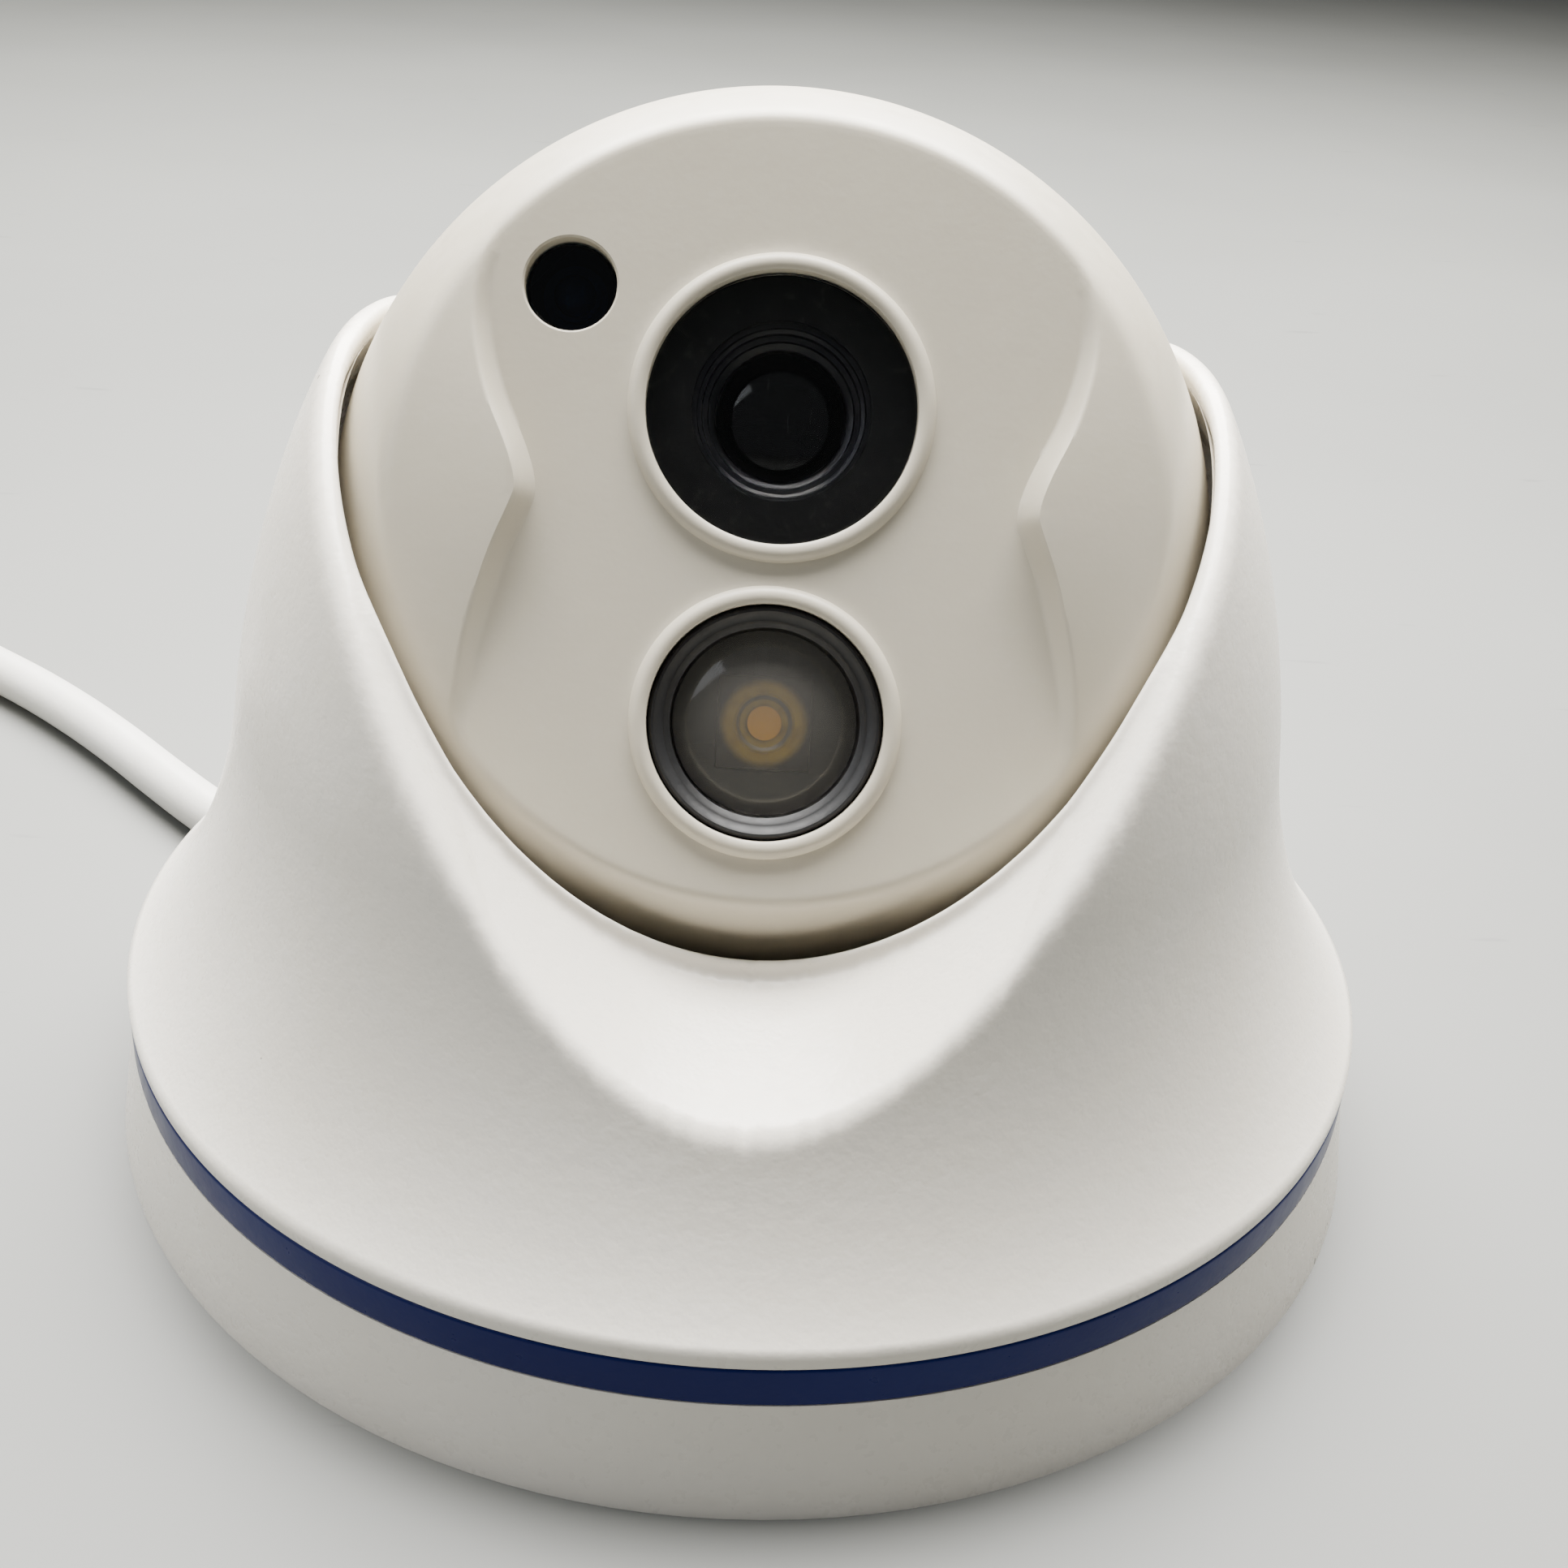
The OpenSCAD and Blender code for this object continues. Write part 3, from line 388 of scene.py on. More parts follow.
def scoop_height(x, y, z):
    """Height of the scooped surface: a sloping trough with side shoulders and a raised lip."""
    crease = 19.3 + (y + 23.5) * 0.47
    past = np.abs(x) - crease
    shoulder = 0.75 * np.clip(past, 0, None) / (1.2 + np.clip(past, 0, None))
    shoulder = shoulder * ramp(-y, 14, 24) * ramp(y, -40.5, -34)
    from_bore = np.sqrt(x ** 2 + (y + lip_shift) ** 2 + (z - ball_centre) ** 2) - bore_r
    front = ramp(-y, 18.0, 23.0)
    lip = 1.25 * front * np.exp(-np.clip(from_bore, 0, None) ** 2 / 0.55)
    return scoop_floor + (y - scoop_y) * scoop_tilt + scoop_curve * x ** 2 + shoulder + lip


def cover_field(r, z, turn):
    """Negative inside the cover's outer form and outside the bore for the ball."""
    x, y = r * np.cos(turn), r * np.sin(turn)
    edge = np.interp(z, outline[:, 1], outline[:, 0])
    slope = (np.interp(z + 0.1, outline[:, 1], outline[:, 0]) - edge) / 0.1
    flank = (r - edge) / np.sqrt(1 + slope ** 2)
    top = (z - scoop_height(x, y, z)) / np.sqrt(1 + (2 * scoop_curve * x) ** 2 + scoop_tilt ** 2)
    skin = soft_max(flank, top, 1.0 + 1.3 * ramp(np.abs(x), 8, 22))
    skin = soft_max(skin, z - collar_z, 1.5)
    rise_sq = (z - ball_centre) ** 2
    bore = bore_r - np.sqrt(x ** 2 + y ** 2 + rise_sq)
    bore = np.maximum(bore, bore_r - np.sqrt(x ** 2 + (y + lip_shift) ** 2 + rise_sq))
    return soft_max(skin, bore, 0.55), bore - skin


def trace_cover(turns, step, count=760):
    """Walks up the cover's skin at every turn at once, over the lip and into the bore."""
    r, z = np.full_like(turns, rim_r), np.full_like(turns, foot_z + band_h)
    heading = np.stack([np.zeros_like(turns), np.ones_like(turns)])
    path, on_bore = [], []
    tiny = 0.01
    for _ in range(count):
        for _ in range(3):
            value, lead = cover_field(r, z, turns)
            grad_r = (cover_field(r + tiny, z, turns)[0] - value) / tiny
            grad_z = (cover_field(r, z + tiny, turns)[0] - value) / tiny
            size = grad_r ** 2 + grad_z ** 2 + 1e-9
            r, z = r - value * grad_r / size, z - value * grad_z / size
        path.append(np.stack([r, z], 1))
        on_bore.append(lead > 0)
        along = np.stack([-grad_z, grad_r]) / np.sqrt(size)
        along = along * np.sign((along * heading).sum(0) + 1e-9)
        heading = along
        r, z = r + step * along[0], z + step * along[1]
    return np.array(path), np.array(on_bore)


def even_samples(line, count, bend_weight=0.35):
    """Resamples a polyline to a number of points that crowd where it bends."""
    runs = np.diff(line, axis=0)
    lengths = np.linalg.norm(runs, axis=1) + 1e-9
    angle = np.unwrap(np.arctan2(runs[:, 1], runs[:, 0]))
    bend = np.abs(np.diff(angle, prepend=angle[0]))
    bend = np.convolve(bend, np.ones(9) / 9, mode="same")
    weight = np.concatenate([[0], np.cumsum(lengths / lengths.sum() + bend_weight * bend)])
    marks = np.linspace(0, weight[-1], count)
    return np.stack([np.interp(marks, weight, line[:, k]) for k in (0, 1)], 1)


cover_steps, skin_count, bore_count, walk_step = 360, 110, 14, 0.12
bore_depth, wall = 4.0, 1.8
turns = np.linspace(0, 2 * np.pi, cover_steps, endpoint=False)
paths, on_bore = trace_cover(turns, walk_step)
loops = []
for i in range(cover_steps):
    lip_at = int(np.argmax(on_bore[:, i]))
    last = lip_at + int(bore_depth / walk_step)
    skin = even_samples(paths[:lip_at + 1, i], skin_count)
    bore = even_samples(paths[lip_at:last, i], bore_count)[1:]
    flow = np.gradient(skin, axis=0)
    normal = np.stack([-flow[:, 1], flow[:, 0]], 1) / np.linalg.norm(flow, axis=1)[:, None]
    inner = (skin + wall * normal)[:-34:3][::-1]
    foot = [[rim_r - wall, foot_z], [rim_r - 0.25, foot_z], [rim_r - 0.05, foot_z + 0.08],
            [rim_r, foot_z + 0.3]]
    loops.append(np.vstack([foot, skin, bore, inner]))
loops = np.array(loops)
ring_size = loops.shape[1]
radii, heights = loops[:, :, 0], loops[:, :, 1]
cos_turns, sin_turns = np.cos(turns)[:, None], np.sin(turns)[:, None]
cover_points = np.stack([radii * cos_turns, radii * sin_turns, heights], 2).reshape(-1, 3) * mm
cover_faces = []
for i in range(cover_steps):
    here, there = i * ring_size, (i + 1) % cover_steps * ring_size
    for k in range(ring_size):
        m = (k + 1) % ring_size
        cover_faces.append((here + k, there + k, there + m, here + m))
top_cover = mesh_piece("scooped_cover", cover_points, cover_faces, white_abs, sharp=50)
stand_for(top_cover, "cover", "cover_plastic", "top_cover")

# ---- Seat ring ----
# A low-friction black nylon ring, injection moulded. It drops into the base's cup, and the ball
# rests and turns on it.
black_nylon = moulded("black_nylon", (0.018, 0.018, 0.02), (0.03, 0.03, 0.031), 0.42, fleck=0.04,
                      dust=0.12)
finish_node("seat_ring", black_nylon, sharp=35)

# ---- Ball front shell ----
# Satin warm-grey ABS, moulded. A flat face is cut into the ball and rises at each side into a wing
# with a crisp inner edge; low beads ring the lens window and the lamp. It screws to the rear shell.
ball_abs = moulded("ball_abs", (0.53, 0.485, 0.39), (0.49, 0.445, 0.35), 0.40,
                   ripple=(500.0, 2600.0, 0.5), depth=0.012, fleck=0.08, dust=0.12, glow=0.06)
lens_rise = 28.0
face_w, plate_w, split_w, shell_in_r, blend_r = 17.8, 15.2, -1.0, 28.0, 26.0
face_r = math.sqrt(ball_r ** 2 - face_w ** 2)
window_at, window_r, ledge_r, ledge_w = (0.0, 6.2), 8.25, 6.9, 16.1
lamp_at, lamp_r = (0.0, -12.8), 7.2
eye_at, eye_r = (-13.1, 12.9), 2.8
bead_w, bead_h = 1.05, 0.6
wing_high, wing_slope, wing_ease = 2.1, 0.25, 0.95
wing_line = [(17.8, 17.2), (17.8, 15.4), (18.3, 11), (17.3, 6.5), (15.7, 3), (15, 0.6), (15.4, -1),
             (16.6, -4), (17.9, -9), (18.4, -13.4), (18.5, -16)]
in_ball = (Matrix.Translation((0, 0, ball_centre * mm))
           @ Matrix.Rotation(math.radians(90 - lens_rise), 4, "X"))


def smooth_line(points, steps):
    """Catmull-Rom curve through the points, with a number of steps between each pair."""
    p = np.array(points, float)
    p = np.vstack([2 * p[0] - p[1], p, 2 * p[-1] - p[-2]])
    t = np.linspace(0, 1, steps, endpoint=False)[:, None]
    out = []
    for a, b, c, d in zip(p, p[1:], p[2:], p[3:]):
        out.append(0.5 * (2 * b + (c - a) * t + (2 * a - 5 * b + 4 * c - d) * t ** 2
                          + (3 * b - a - 3 * c + d) * t ** 3))
    return np.vstack(out + [p[-2:-1]])


wing_curve = smooth_line(wing_line, 24)[::-1]
blur = 8
kernel = np.ones(2 * blur + 1) / (2 * blur + 1)
wing_curve[blur:-blur] = np.stack([np.convolve(wing_curve[:, k], kernel, mode="valid")
                                   for k in (0, 1)], 1)


def past_wing_edge(u, v):
    """Distance outward past the nearer wing's inner edge, negative between the wings."""
    edge = np.interp(v, wing_curve[:, 1], wing_curve[:, 0])
    lean = (np.interp(v + 0.1, wing_curve[:, 1], wing_curve[:, 0]) - edge) / 0.1
    return (np.abs(u) - edge) / np.sqrt(1 + lean ** 2)


def bead_height(u, v, at, radius):
    """Height of the raised bead round an opening."""
    t = (np.hypot(u - at[0], v - at[1]) - radius) / bead_w
    crown = np.sqrt(np.clip(1 - (1.7 * t - 0.7) ** 2, 0, None))
    foot = 0.12 * np.exp(-np.clip(t - 1, 0, None) * 5)
    return np.where(t < 1.0, bead_h * np.maximum(crown, 0.12), bead_h * foot)


def face_height(u, v):
    """Height of the shell's skin over the ball's centre, along the lens axis."""
    r = np.hypot(u, v)
    past = past_wing_edge(u, v) + wing_ease / 2
    rise = np.clip(past / wing_ease, 0, None) ** 1.5
    rise = -soft_max(-rise, -np.ones_like(rise), 0.25)
    rim = np.sqrt(np.clip(ball_r ** 2 - r ** 2, 0, None))
    wing = rise * np.clip(wing_slope * (face_r + 0.6 - r), 0, wing_high)
    flat = face_w + wing
    flat = flat + bead_height(u, v, window_at, window_r) + bead_height(u, v, lamp_at, lamp_r)
    return -soft_max(-flat, -rim, 0.7)


def circle(at, radius, count):
    turn = 2 * np.pi * np.arange(count) / count
    return np.stack([at[0] + radius * np.cos(turn), at[1] + radius * np.sin(turn)], 1)


def plate_mesh(spacing, outer_r, outer_count, holes, rings, extra=(), skip=None):
    """Triangles of a round plate with round holes: its points, faces and each rim's indices."""
    rims = [circle((0, 0), outer_r, outer_count)] + [circle(at, r, n) for at, r, n in holes]
    fixed = rims + [circle(at, r, n) for at, r, n in rings]
    across = np.arange(-outer_r, outer_r, spacing)
    gu, gv = np.meshgrid(across, across * math.sqrt(0.75))
    gu = gu + (np.arange(len(gv)) % 2)[:, None] * spacing / 2
    grid = np.stack([gu.ravel(), gv.ravel() / math.sqrt(0.75) * 0.9], 1)
    keep = np.hypot(grid[:, 0], grid[:, 1]) < outer_r - 0.6 * spacing
    for at, r, n in list(holes) + list(rings):
        away = np.abs(np.hypot(grid[:, 0] - at[0], grid[:, 1] - at[1]) - r)
        keep &= away > 0.55 * spacing
    for at, r, n in holes:
        keep &= np.hypot(grid[:, 0] - at[0], grid[:, 1] - at[1]) > r
    if skip is not None:
        keep &= ~skip(grid[:, 0], grid[:, 1])
    points = np.vstack(fixed + [grid[keep]] + list(extra))
    starts = np.cumsum([0] + [len(c) for c in fixed])
    result = delaunay_2d_cdt([Vector(p) for p in points], [], [], 0, 1e-7)
    flat, faces, origin = np.array([tuple(p) for p in result[0]]), result[2], result[3]
    where = {}
    for new, olds in enumerate(origin):
        for old in olds:
            where[old] = new
    kept = []
    for f in faces:
        middle = flat[list(f)].mean(0)
        if all(math.hypot(middle[0] - at[0], middle[1] - at[1]) > r * math.cos(math.pi / n)
               for at, r, n in holes):
            kept.append(tuple(f))
    loops = [[where[start + k] for k in range(len(rim))] for start, rim in zip(starts, rims)]
    return flat, kept, loops


face_steps, hole_steps, eye_steps = 240, 128, 64
face_holes = [(window_at, window_r, hole_steps), (lamp_at, lamp_r, hole_steps),
              (eye_at, eye_r, eye_steps)]
beads = [(window_at, window_r), (lamp_at, lamp_r)]
bead_shares = (0.04, 0.12, 0.25, 0.42, 0.6, 0.78, 0.9, 0.97, 1.03, 1.15)
bead_rings = [(at, r + bead_w * share, hole_steps) for at, r in beads for share in bead_shares]
rim_radii = (25.5, 25.0, 24.6, 24.3, 24.05, 23.8, 23.55, 23.3, 22.95)
rim_rings = [((0, 0), r, face_steps) for r in rim_radii]
eye_rings = [(eye_at, eye_r + 0.12, eye_steps), (eye_at, eye_r + 0.3, eye_steps)]
spacing = 0.32
flow = np.gradient(wing_curve, axis=0)
aside = np.stack([-flow[:, 1], flow[:, 0]], 1) / np.linalg.norm(flow, axis=1)[:, None]
aside *= -1 if aside[len(aside) // 2, 0] < 0 else 1
walked = np.concatenate([[0], np.cumsum(np.linalg.norm(np.diff(wing_curve, axis=0), axis=1))])
along = np.interp(np.arange(0, walked[-1], 0.32), walked, np.arange(len(walked))).astype(int)
strips, strip_r, strip_clear = [], 22.7, 0.88
for offset in np.arange(-0.75, 0.76, 0.15):
    row = wing_curve[along] + aside[along] * offset
    row = row[np.hypot(row[:, 0], row[:, 1]) < strip_r]
    strips += [row, row * (-1, 1)]
flat, front_faces, rims = plate_mesh(spacing, blend_r, face_steps, face_holes,
                                     bead_rings + rim_rings + eye_rings, extra=strips,
                                     skip=lambda u, v: (np.abs(past_wing_edge(u, v)) < strip_clear)
                                     & (np.hypot(u, v) < strip_r + 0.2))
heights = face_height(flat[:, 0], flat[:, 1])
from_eye = np.hypot(flat[:, 0] - eye_at[0], flat[:, 1] - eye_at[1])
eye_edge = 0.12
heights = heights - eye_edge * np.clip(1 - (from_eye - eye_r) / eye_edge, 0, 1) ** 2
shell_points = [(u, v, w) for (u, v), w in zip(flat, heights)]
shell_faces = list(front_faces)
back_r = 23.2
back_holes = [(window_at, ledge_r, hole_steps)] + face_holes[1:]
back_flat, back_faces, back_rims = plate_mesh(2.2, back_r, face_steps, back_holes, [])
base = len(shell_points)
shell_points += [(u, v, plate_w) for u, v in back_flat]
shell_faces += [tuple(base + k for k in f[::-1]) for f in back_faces]
back_rims = [[base + k for k in loop] for loop in back_rims]


def add_ring(at, radius, height, count):
    """Adds a ring of points to the shell and returns their indices."""
    start = len(shell_points)
    shell_points.extend((u, v, height) for u, v in circle(at, radius, count))
    return list(range(start, start + count))


def bridge(first, second):
    """Faces between two rings of the shell with the same count."""
    count = len(first)
    for k in range(count):
        j = (k + 1) % count
        shell_faces.append((first[k], first[j], second[j], second[k]))


ring, outer_rings, inner_rings, chamfer = rims[0], 40, 20, 0.12
outer_tilts = np.linspace(math.acos(blend_r / ball_r), math.asin(split_w / ball_r), outer_rings + 1)
inner_tilts = np.linspace(math.asin(split_w / shell_in_r), math.asin(plate_w / shell_in_r),
                          inner_rings + 1)
bands = [(ball_r, tilt) for tilt in outer_tilts[1:-1]] + [(ball_r - chamfer, outer_tilts[-1])]
bands += [(shell_in_r, tilt) for tilt in inner_tilts]
for radius, tilt in bands:
    after = add_ring((0, 0), radius * math.cos(tilt), radius * math.sin(tilt), face_steps)
    bridge(after, ring)
    ring = after
bridge(back_rims[0], ring)
seat = add_ring(window_at, window_r, ledge_w, hole_steps)
bridge(rims[1], seat)
ledge = add_ring(window_at, ledge_r, ledge_w, hole_steps)
bridge(seat, ledge)
bridge(ledge, back_rims[1])
bridge(rims[2], back_rims[2])
bridge(rims[3], back_rims[3])
shell_points = [tuple(in_ball @ Vector(p)) for p in np.array(shell_points) * mm]
front_shell = mesh_piece("winged_front_shell", shell_points, shell_faces, ball_abs, 42)
stand_for(front_shell, "ball", "ball_plastic", "ball_front_shell")

# ---- Ball rear shell ----
# The plain half of the ball, moulded in the same ABS, with two deep screw pockets. A black rubber
# grommet is pushed into its hole for the cable.
finish_node("ball_rear_shell", ball_abs, sharp=30)
black_rubber = moulded("black_rubber", (0.006, 0.006, 0.006), (0.012, 0.0115, 0.011), 0.7,
                       ripple=(700.0, 2200.0, 0.6), fleck=0.03, dust=0.03, shine=0.08)
finish_node("ball_grommet", black_rubber, sharp=35)

# ---- Shell screws ----
# Two zinc-plated steel screws with pan heads. They are driven from the back through the rear shell
# into the front shell's bosses.


def metal(name, fresh, aged, roughness, depth=0.01, pits=0.05, grain=(700.0, 4200.0, 0.8)):
    """Plated or turned metal: drifting tone, fine tool marks and a few dull pits."""
    finish, tree, shader = new_finish(name)
    tone = effect(tree, tone_drift, {"Fresh": (*fresh, 1), "Aged": (*aged, 1), "Scale": 260.0})
    spots = effect(tree, flecks, {"Scale": 420.0, "Size": pits})
    tree.links.new(blend_colours(tree, spots, tone, (*[0.4 * c for c in aged], 1)),
                   shader.inputs["Base Color"])
    marks = effect(tree, mould_grain, {"Ripple Scale": grain[0], "Grain Scale": grain[1],
                                       "Grain Share": grain[2]})
    rub = add(tree, "ShaderNodeMapRange", {"Value": marks, "From Min": 0.4, "From Max": 1.3,
                                           "To Min": roughness * 0.7, "To Max": roughness * 1.4})
    tree.links.new(maths(tree, "ADD", rub.outputs[0], maths(tree, "MULTIPLY", spots, 0.3)),
                   shader.inputs["Roughness"])
    raise_skin(tree, shader, marks, depth * mm)
    shader.inputs["Metallic"].default_value = 1.0
    return finish


zinc_steel = metal("zinc_steel", (0.62, 0.62, 0.62), (0.5, 0.49, 0.46), 0.28)
finish_node("shell_screws", zinc_steel, sharp=30)

# ---- Lens window and gasket ----
# A flat clear polycarbonate disc, dusty and lightly scratched, dropped into the face against a
# die-cut ring of black foam rubber that hides all but the lens.


def clear(name, tint, roughness, dust=0.0, scratch=0.0, ior=1.5, clearness=1.0):
    """Clear moulded plastic or glass; settled specks and hairline scratches roughen its skin."""
    finish, tree, shader = new_finish(name)
    where = own_point(tree)
    specks = effect(tree, flecks, {"Scale": 900.0, "Size": 0.13})
    bent = add(tree, "ShaderNodeMapping", {"Vector": where, "Scale": (2600.0, 160.0, 160.0),
                                           "Rotation": (0.3, 0.2, 0.8)}).outputs[0]
    hair = fade(tree, noise(tree, bent, 1.0), 0.74, 0.78)
    worn = maths(tree, "ADD", maths(tree, "MULTIPLY", specks, dust),
                 maths(tree, "MULTIPLY", hair, scratch))
    tree.links.new(blend_colours(tree, worn, (*tint, 1), (0.8, 0.8, 0.78, 1)),
                   shader.inputs["Base Color"])
    tree.links.new(maths(tree, "ADD", worn, roughness), shader.inputs["Roughness"])
    shader.inputs["Transmission Weight"].default_value = clearness
    shader.inputs["IOR"].default_value = ior
    return finish


def along_axis(at, w=0.0):
    """Frame at a place on the face, with its own +Z along the lens axis."""
    return in_ball @ Matrix.Translation((at[0] * mm, at[1] * mm, w * mm))


window_clear = clear("window_clear", (0.97, 0.98, 0.98), 0.015, dust=0.2, scratch=0.2, ior=1.18)
window_top = face_w - 0.2
pane = turned("clear_pane", [(0, 16.61), (8.05, 16.61), (8.2, 16.75), (8.2, window_top - 0.15),
                             (8.05, window_top), (0, window_top)], window_clear, steps=128,
              axis=along_axis(window_at))
stand_for(pane, "ball", "window_glass", "lens_window")
foam = turned("foam_ring", soft_corners([(5.45, ledge_w), (8.2, ledge_w), (8.2, 16.58),
                                         (5.45, 16.58)], 0.12), black_rubber, steps=128,
              axis=along_axis(window_at), closed=True)
stand_for(foam, "ball", "black_rubber", "window_gasket")

# ---- Lens barrel, front glass and lock ring ----
# An M12 barrel turned in black aluminium, with stepped rings round a coated front element. It is
# screwed into its mount for focus and held there by a thin brass ring.
anodised = metal("anodised_black", (0.022, 0.022, 0.024), (0.035, 0.034, 0.034), 0.36, depth=0.006)
lens_r, thread_pitch, barrel_foot, barrel_neck, barrel_top = 6.0, 0.5, 1.8, 9.4, 15.9
barrel = [(3.0, barrel_foot), (5.6, barrel_foot)]
pitches = int((barrel_neck - barrel_foot - 0.6) / thread_pitch)
for i in range(pitches):
    low = barrel_foot + 0.3 + i * thread_pitch
    barrel += [(lens_r - 0.28, low), (lens_r - 0.02, low + 0.18), (lens_r - 0.02, low + 0.28)]
barrel += [(lens_r - 0.02, barrel_neck), (6.4, barrel_neck), (6.58, barrel_neck + 0.2),
           (6.58, barrel_top - 0.25), (6.35, barrel_top), (5.6, barrel_top),
           (5.52, barrel_top - 0.1),
           (5.22, barrel_top - 0.12), (5.14, barrel_top - 0.3), (4.92, barrel_top - 0.42),
           (4.86, barrel_top - 0.95), (4.56, barrel_top - 1.0), (4.48, barrel_top - 1.3),
           (4.2, barrel_top - 1.45), (4.08, barrel_top - 1.6), (4.06, barrel_top - 3.2),
           (3.0, barrel_top - 3.2)]
barrel = turned("threaded_barrel", barrel, anodised, steps=128, axis=along_axis(window_at),
                sharp=28, closed=True)
stand_for(barrel, "lens", "black_plastic", "lens_barrel")
coated_glass = clear("coated_glass", (0.03, 0.035, 0.05), 0.01, ior=1.35)
glass_low, glass_top, glass_bulge = 12.72, 15.0, 7.5
element = [(0, glass_low), (3.7, glass_low), (3.98, glass_low + 0.2)]
for i in range(15):
    r = 3.98 * (1 - (i / 14) ** 1.2)
    element.append((r, glass_top - glass_bulge + math.sqrt(glass_bulge ** 2 - r ** 2)))
element = turned("front_element", element, coated_glass, steps=128, axis=along_axis(window_at))
stand_for(element, "lens", "lens_glass", "lens_front_glass")
brass = metal("turned_brass", (0.72, 0.50, 0.20), (0.52, 0.36, 0.15), 0.26)
finish_node("lens_lock_ring", brass, sharp=30)

# ---- Lens mount and switched filter ----
# A black nylon tower screwed to the board over the sensor. Inside it a slide carries an infrared
# filter sideways, pulled by a copper coil.
black_pps = moulded("black_pps", (0.010, 0.010, 0.011), (0.018, 0.018, 0.018), 0.48, fleck=0.04,
                    dust=0.015)
for name in ("lens_mount", "filter_housing", "filter_slide"):
    finish_node(name, black_pps, sharp=30)
copper = metal("wound_copper", (0.70, 0.30, 0.14), (0.45, 0.19, 0.10), 0.35,
               grain=(5200.0, 9000.0, 0.2), depth=0.03)
finish_node("filter_coil", copper, sharp=30)
filter_clear = clear("infrared_filter", (0.45, 0.86, 0.88), 0.02, dust=0.1, ior=1.52)
finish_node("filter_glass", filter_clear)

# ---- Image sensor, chips and sockets ----
# Epoxy packages, matt and slightly speckled, with a dark iridescent window on the sensor; the
# sockets are ivory nylon. All are soldered to the board.
epoxy = moulded("black_epoxy", (0.018, 0.018, 0.02), (0.035, 0.034, 0.033), 0.55,
                ripple=(1600.0, 6000.0, 0.6), fleck=0.05, dust=0.15)
finish_node("image_sensor", epoxy)
finish_node("board_chips", epoxy)
ivory_nylon = moulded("ivory_nylon", (0.72, 0.68, 0.56), (0.62, 0.57, 0.45), 0.42, fleck=0.05,
                      dust=0.15, glow=0.1)
finish_node("board_sockets", ivory_nylon)

# ---- Main board and lamp board ----
# Glass-epoxy boards under solder mask, green for the camera and black for the lamp, with copper
# traces showing faintly through. Brass standoffs and small steel screws carry them.


def solder_mask(name, mask, trace, pad):
    """Circuit board: traces under the mask along two directions, and tinned pads."""
    finish, tree, shader = new_finish(name)
    where = own_point(tree)
    lines = []
    for turn in (0.0, math.pi / 2):
        turned_to = add(tree, "ShaderNodeMapping", {"Vector": where,
                        "Rotation": (0.0, 0.0, turn)}).outputs[0]
        wave = add(tree, "ShaderNodeTexWave", {"Vector": turned_to, "Scale": 170.0,
                   "Distortion": 1.4, "Detail": 1.0}, wave_profile="SAW").outputs[1]
        lines.append(fade(tree, wave, 0.62, 0.68))
    area = add(tree, "ShaderNodeTexVoronoi", {"Vector": where, "Scale": 160.0})
    pick = add(tree, "ShaderNodeSeparateColor", {"Color": area.outputs["Color"]}).outputs[1]
    chosen = fade(tree, pick, 0.48, 0.52)
    traces = maths(tree, "ADD", maths(tree, "MULTIPLY", lines[0], chosen),
                   maths(tree, "MULTIPLY", lines[1], maths(tree, "SUBTRACT", 1.0, chosen)))
    pads = effect(tree, flecks, {"Scale": 620.0, "Size": 0.42})
    tone = blend_colours(tree, maths(tree, "MULTIPLY", traces, 0.8), (*mask, 1), (*trace, 1))
    tree.links.new(blend_colours(tree, pads, tone, (*pad, 1)), shader.inputs["Base Color"])
    tree.links.new(maths(tree, "MULTIPLY", pads, 0.8), shader.inputs["Metallic"])
    raise_skin(tree, shader, traces, 0.03 * mm)
    shader.inputs["Roughness"].default_value = 0.34
    return finish


finish_node("main_board", solder_mask("green_board", (0.008, 0.10, 0.035), (0.02, 0.20, 0.07),
                                      (0.62, 0.60, 0.55)))
finish_node("lamp_board", solder_mask("black_board", (0.012, 0.012, 0.014), (0.03, 0.03, 0.034),
                                      (0.62, 0.60, 0.55)))
finish_node("board_standoffs", brass, sharp=30)
for name in ("board_screws", "lamp_board_screws"):
    finish_node(name, zinc_steel, sharp=30)
black_cable = moulded("black_cable", (0.02, 0.02, 0.021), (0.035, 0.034, 0.033), 0.38,
                      ripple=(500.0, 2000.0, 0.3), fleck=0.03, dust=0.15)
finish_node("board_harness", black_cable, sharp=40)

# ---- Lamp: package, lens and holder ----
# A surface-mounted infrared diode with an amber gel over its die, under a clear moulded collimating
# lens that sits in a stepped black holder.
package, tree, shader = new_finish("diode_package")
where = own_point(tree)
die_at = along_axis(lamp_at, 13.6) @ Vector((0, 0, 0))
off_die = add(tree, "ShaderNodeVectorMath", {0: where, 1: die_at}, operation="DISTANCE")
off_die = off_die.outputs["Value"]
body_tone = effect(tree, tone_drift, {"Fresh": (0.60, 0.42, 0.07, 1), "Aged": (0.42, 0.28, 0.05, 1),
                                      "Scale": 700.0})
body_tone = blend_colours(tree, fade(tree, off_die, 2.0 * mm, 2.65 * mm), body_tone,
                          (0.02, 0.018, 0.016, 1))
ring_tone = blend_colours(tree, fade(tree, off_die, 1.55 * mm, 1.8 * mm), (0.05, 0.026, 0.012, 1),
                          body_tone)
die_edge = fade(tree, off_die, 1.02 * mm, 1.15 * mm)
tree.links.new(blend_colours(tree, die_edge, (0.95, 0.48, 0.015, 1), ring_tone),
               shader.inputs["Base Color"])
shader.inputs["Roughness"].default_value = 0.3
finish_node("lamp_package", package, sharp=30)
holder_h, seat_h, lamp_low = 4.8, 1.0, 12.8
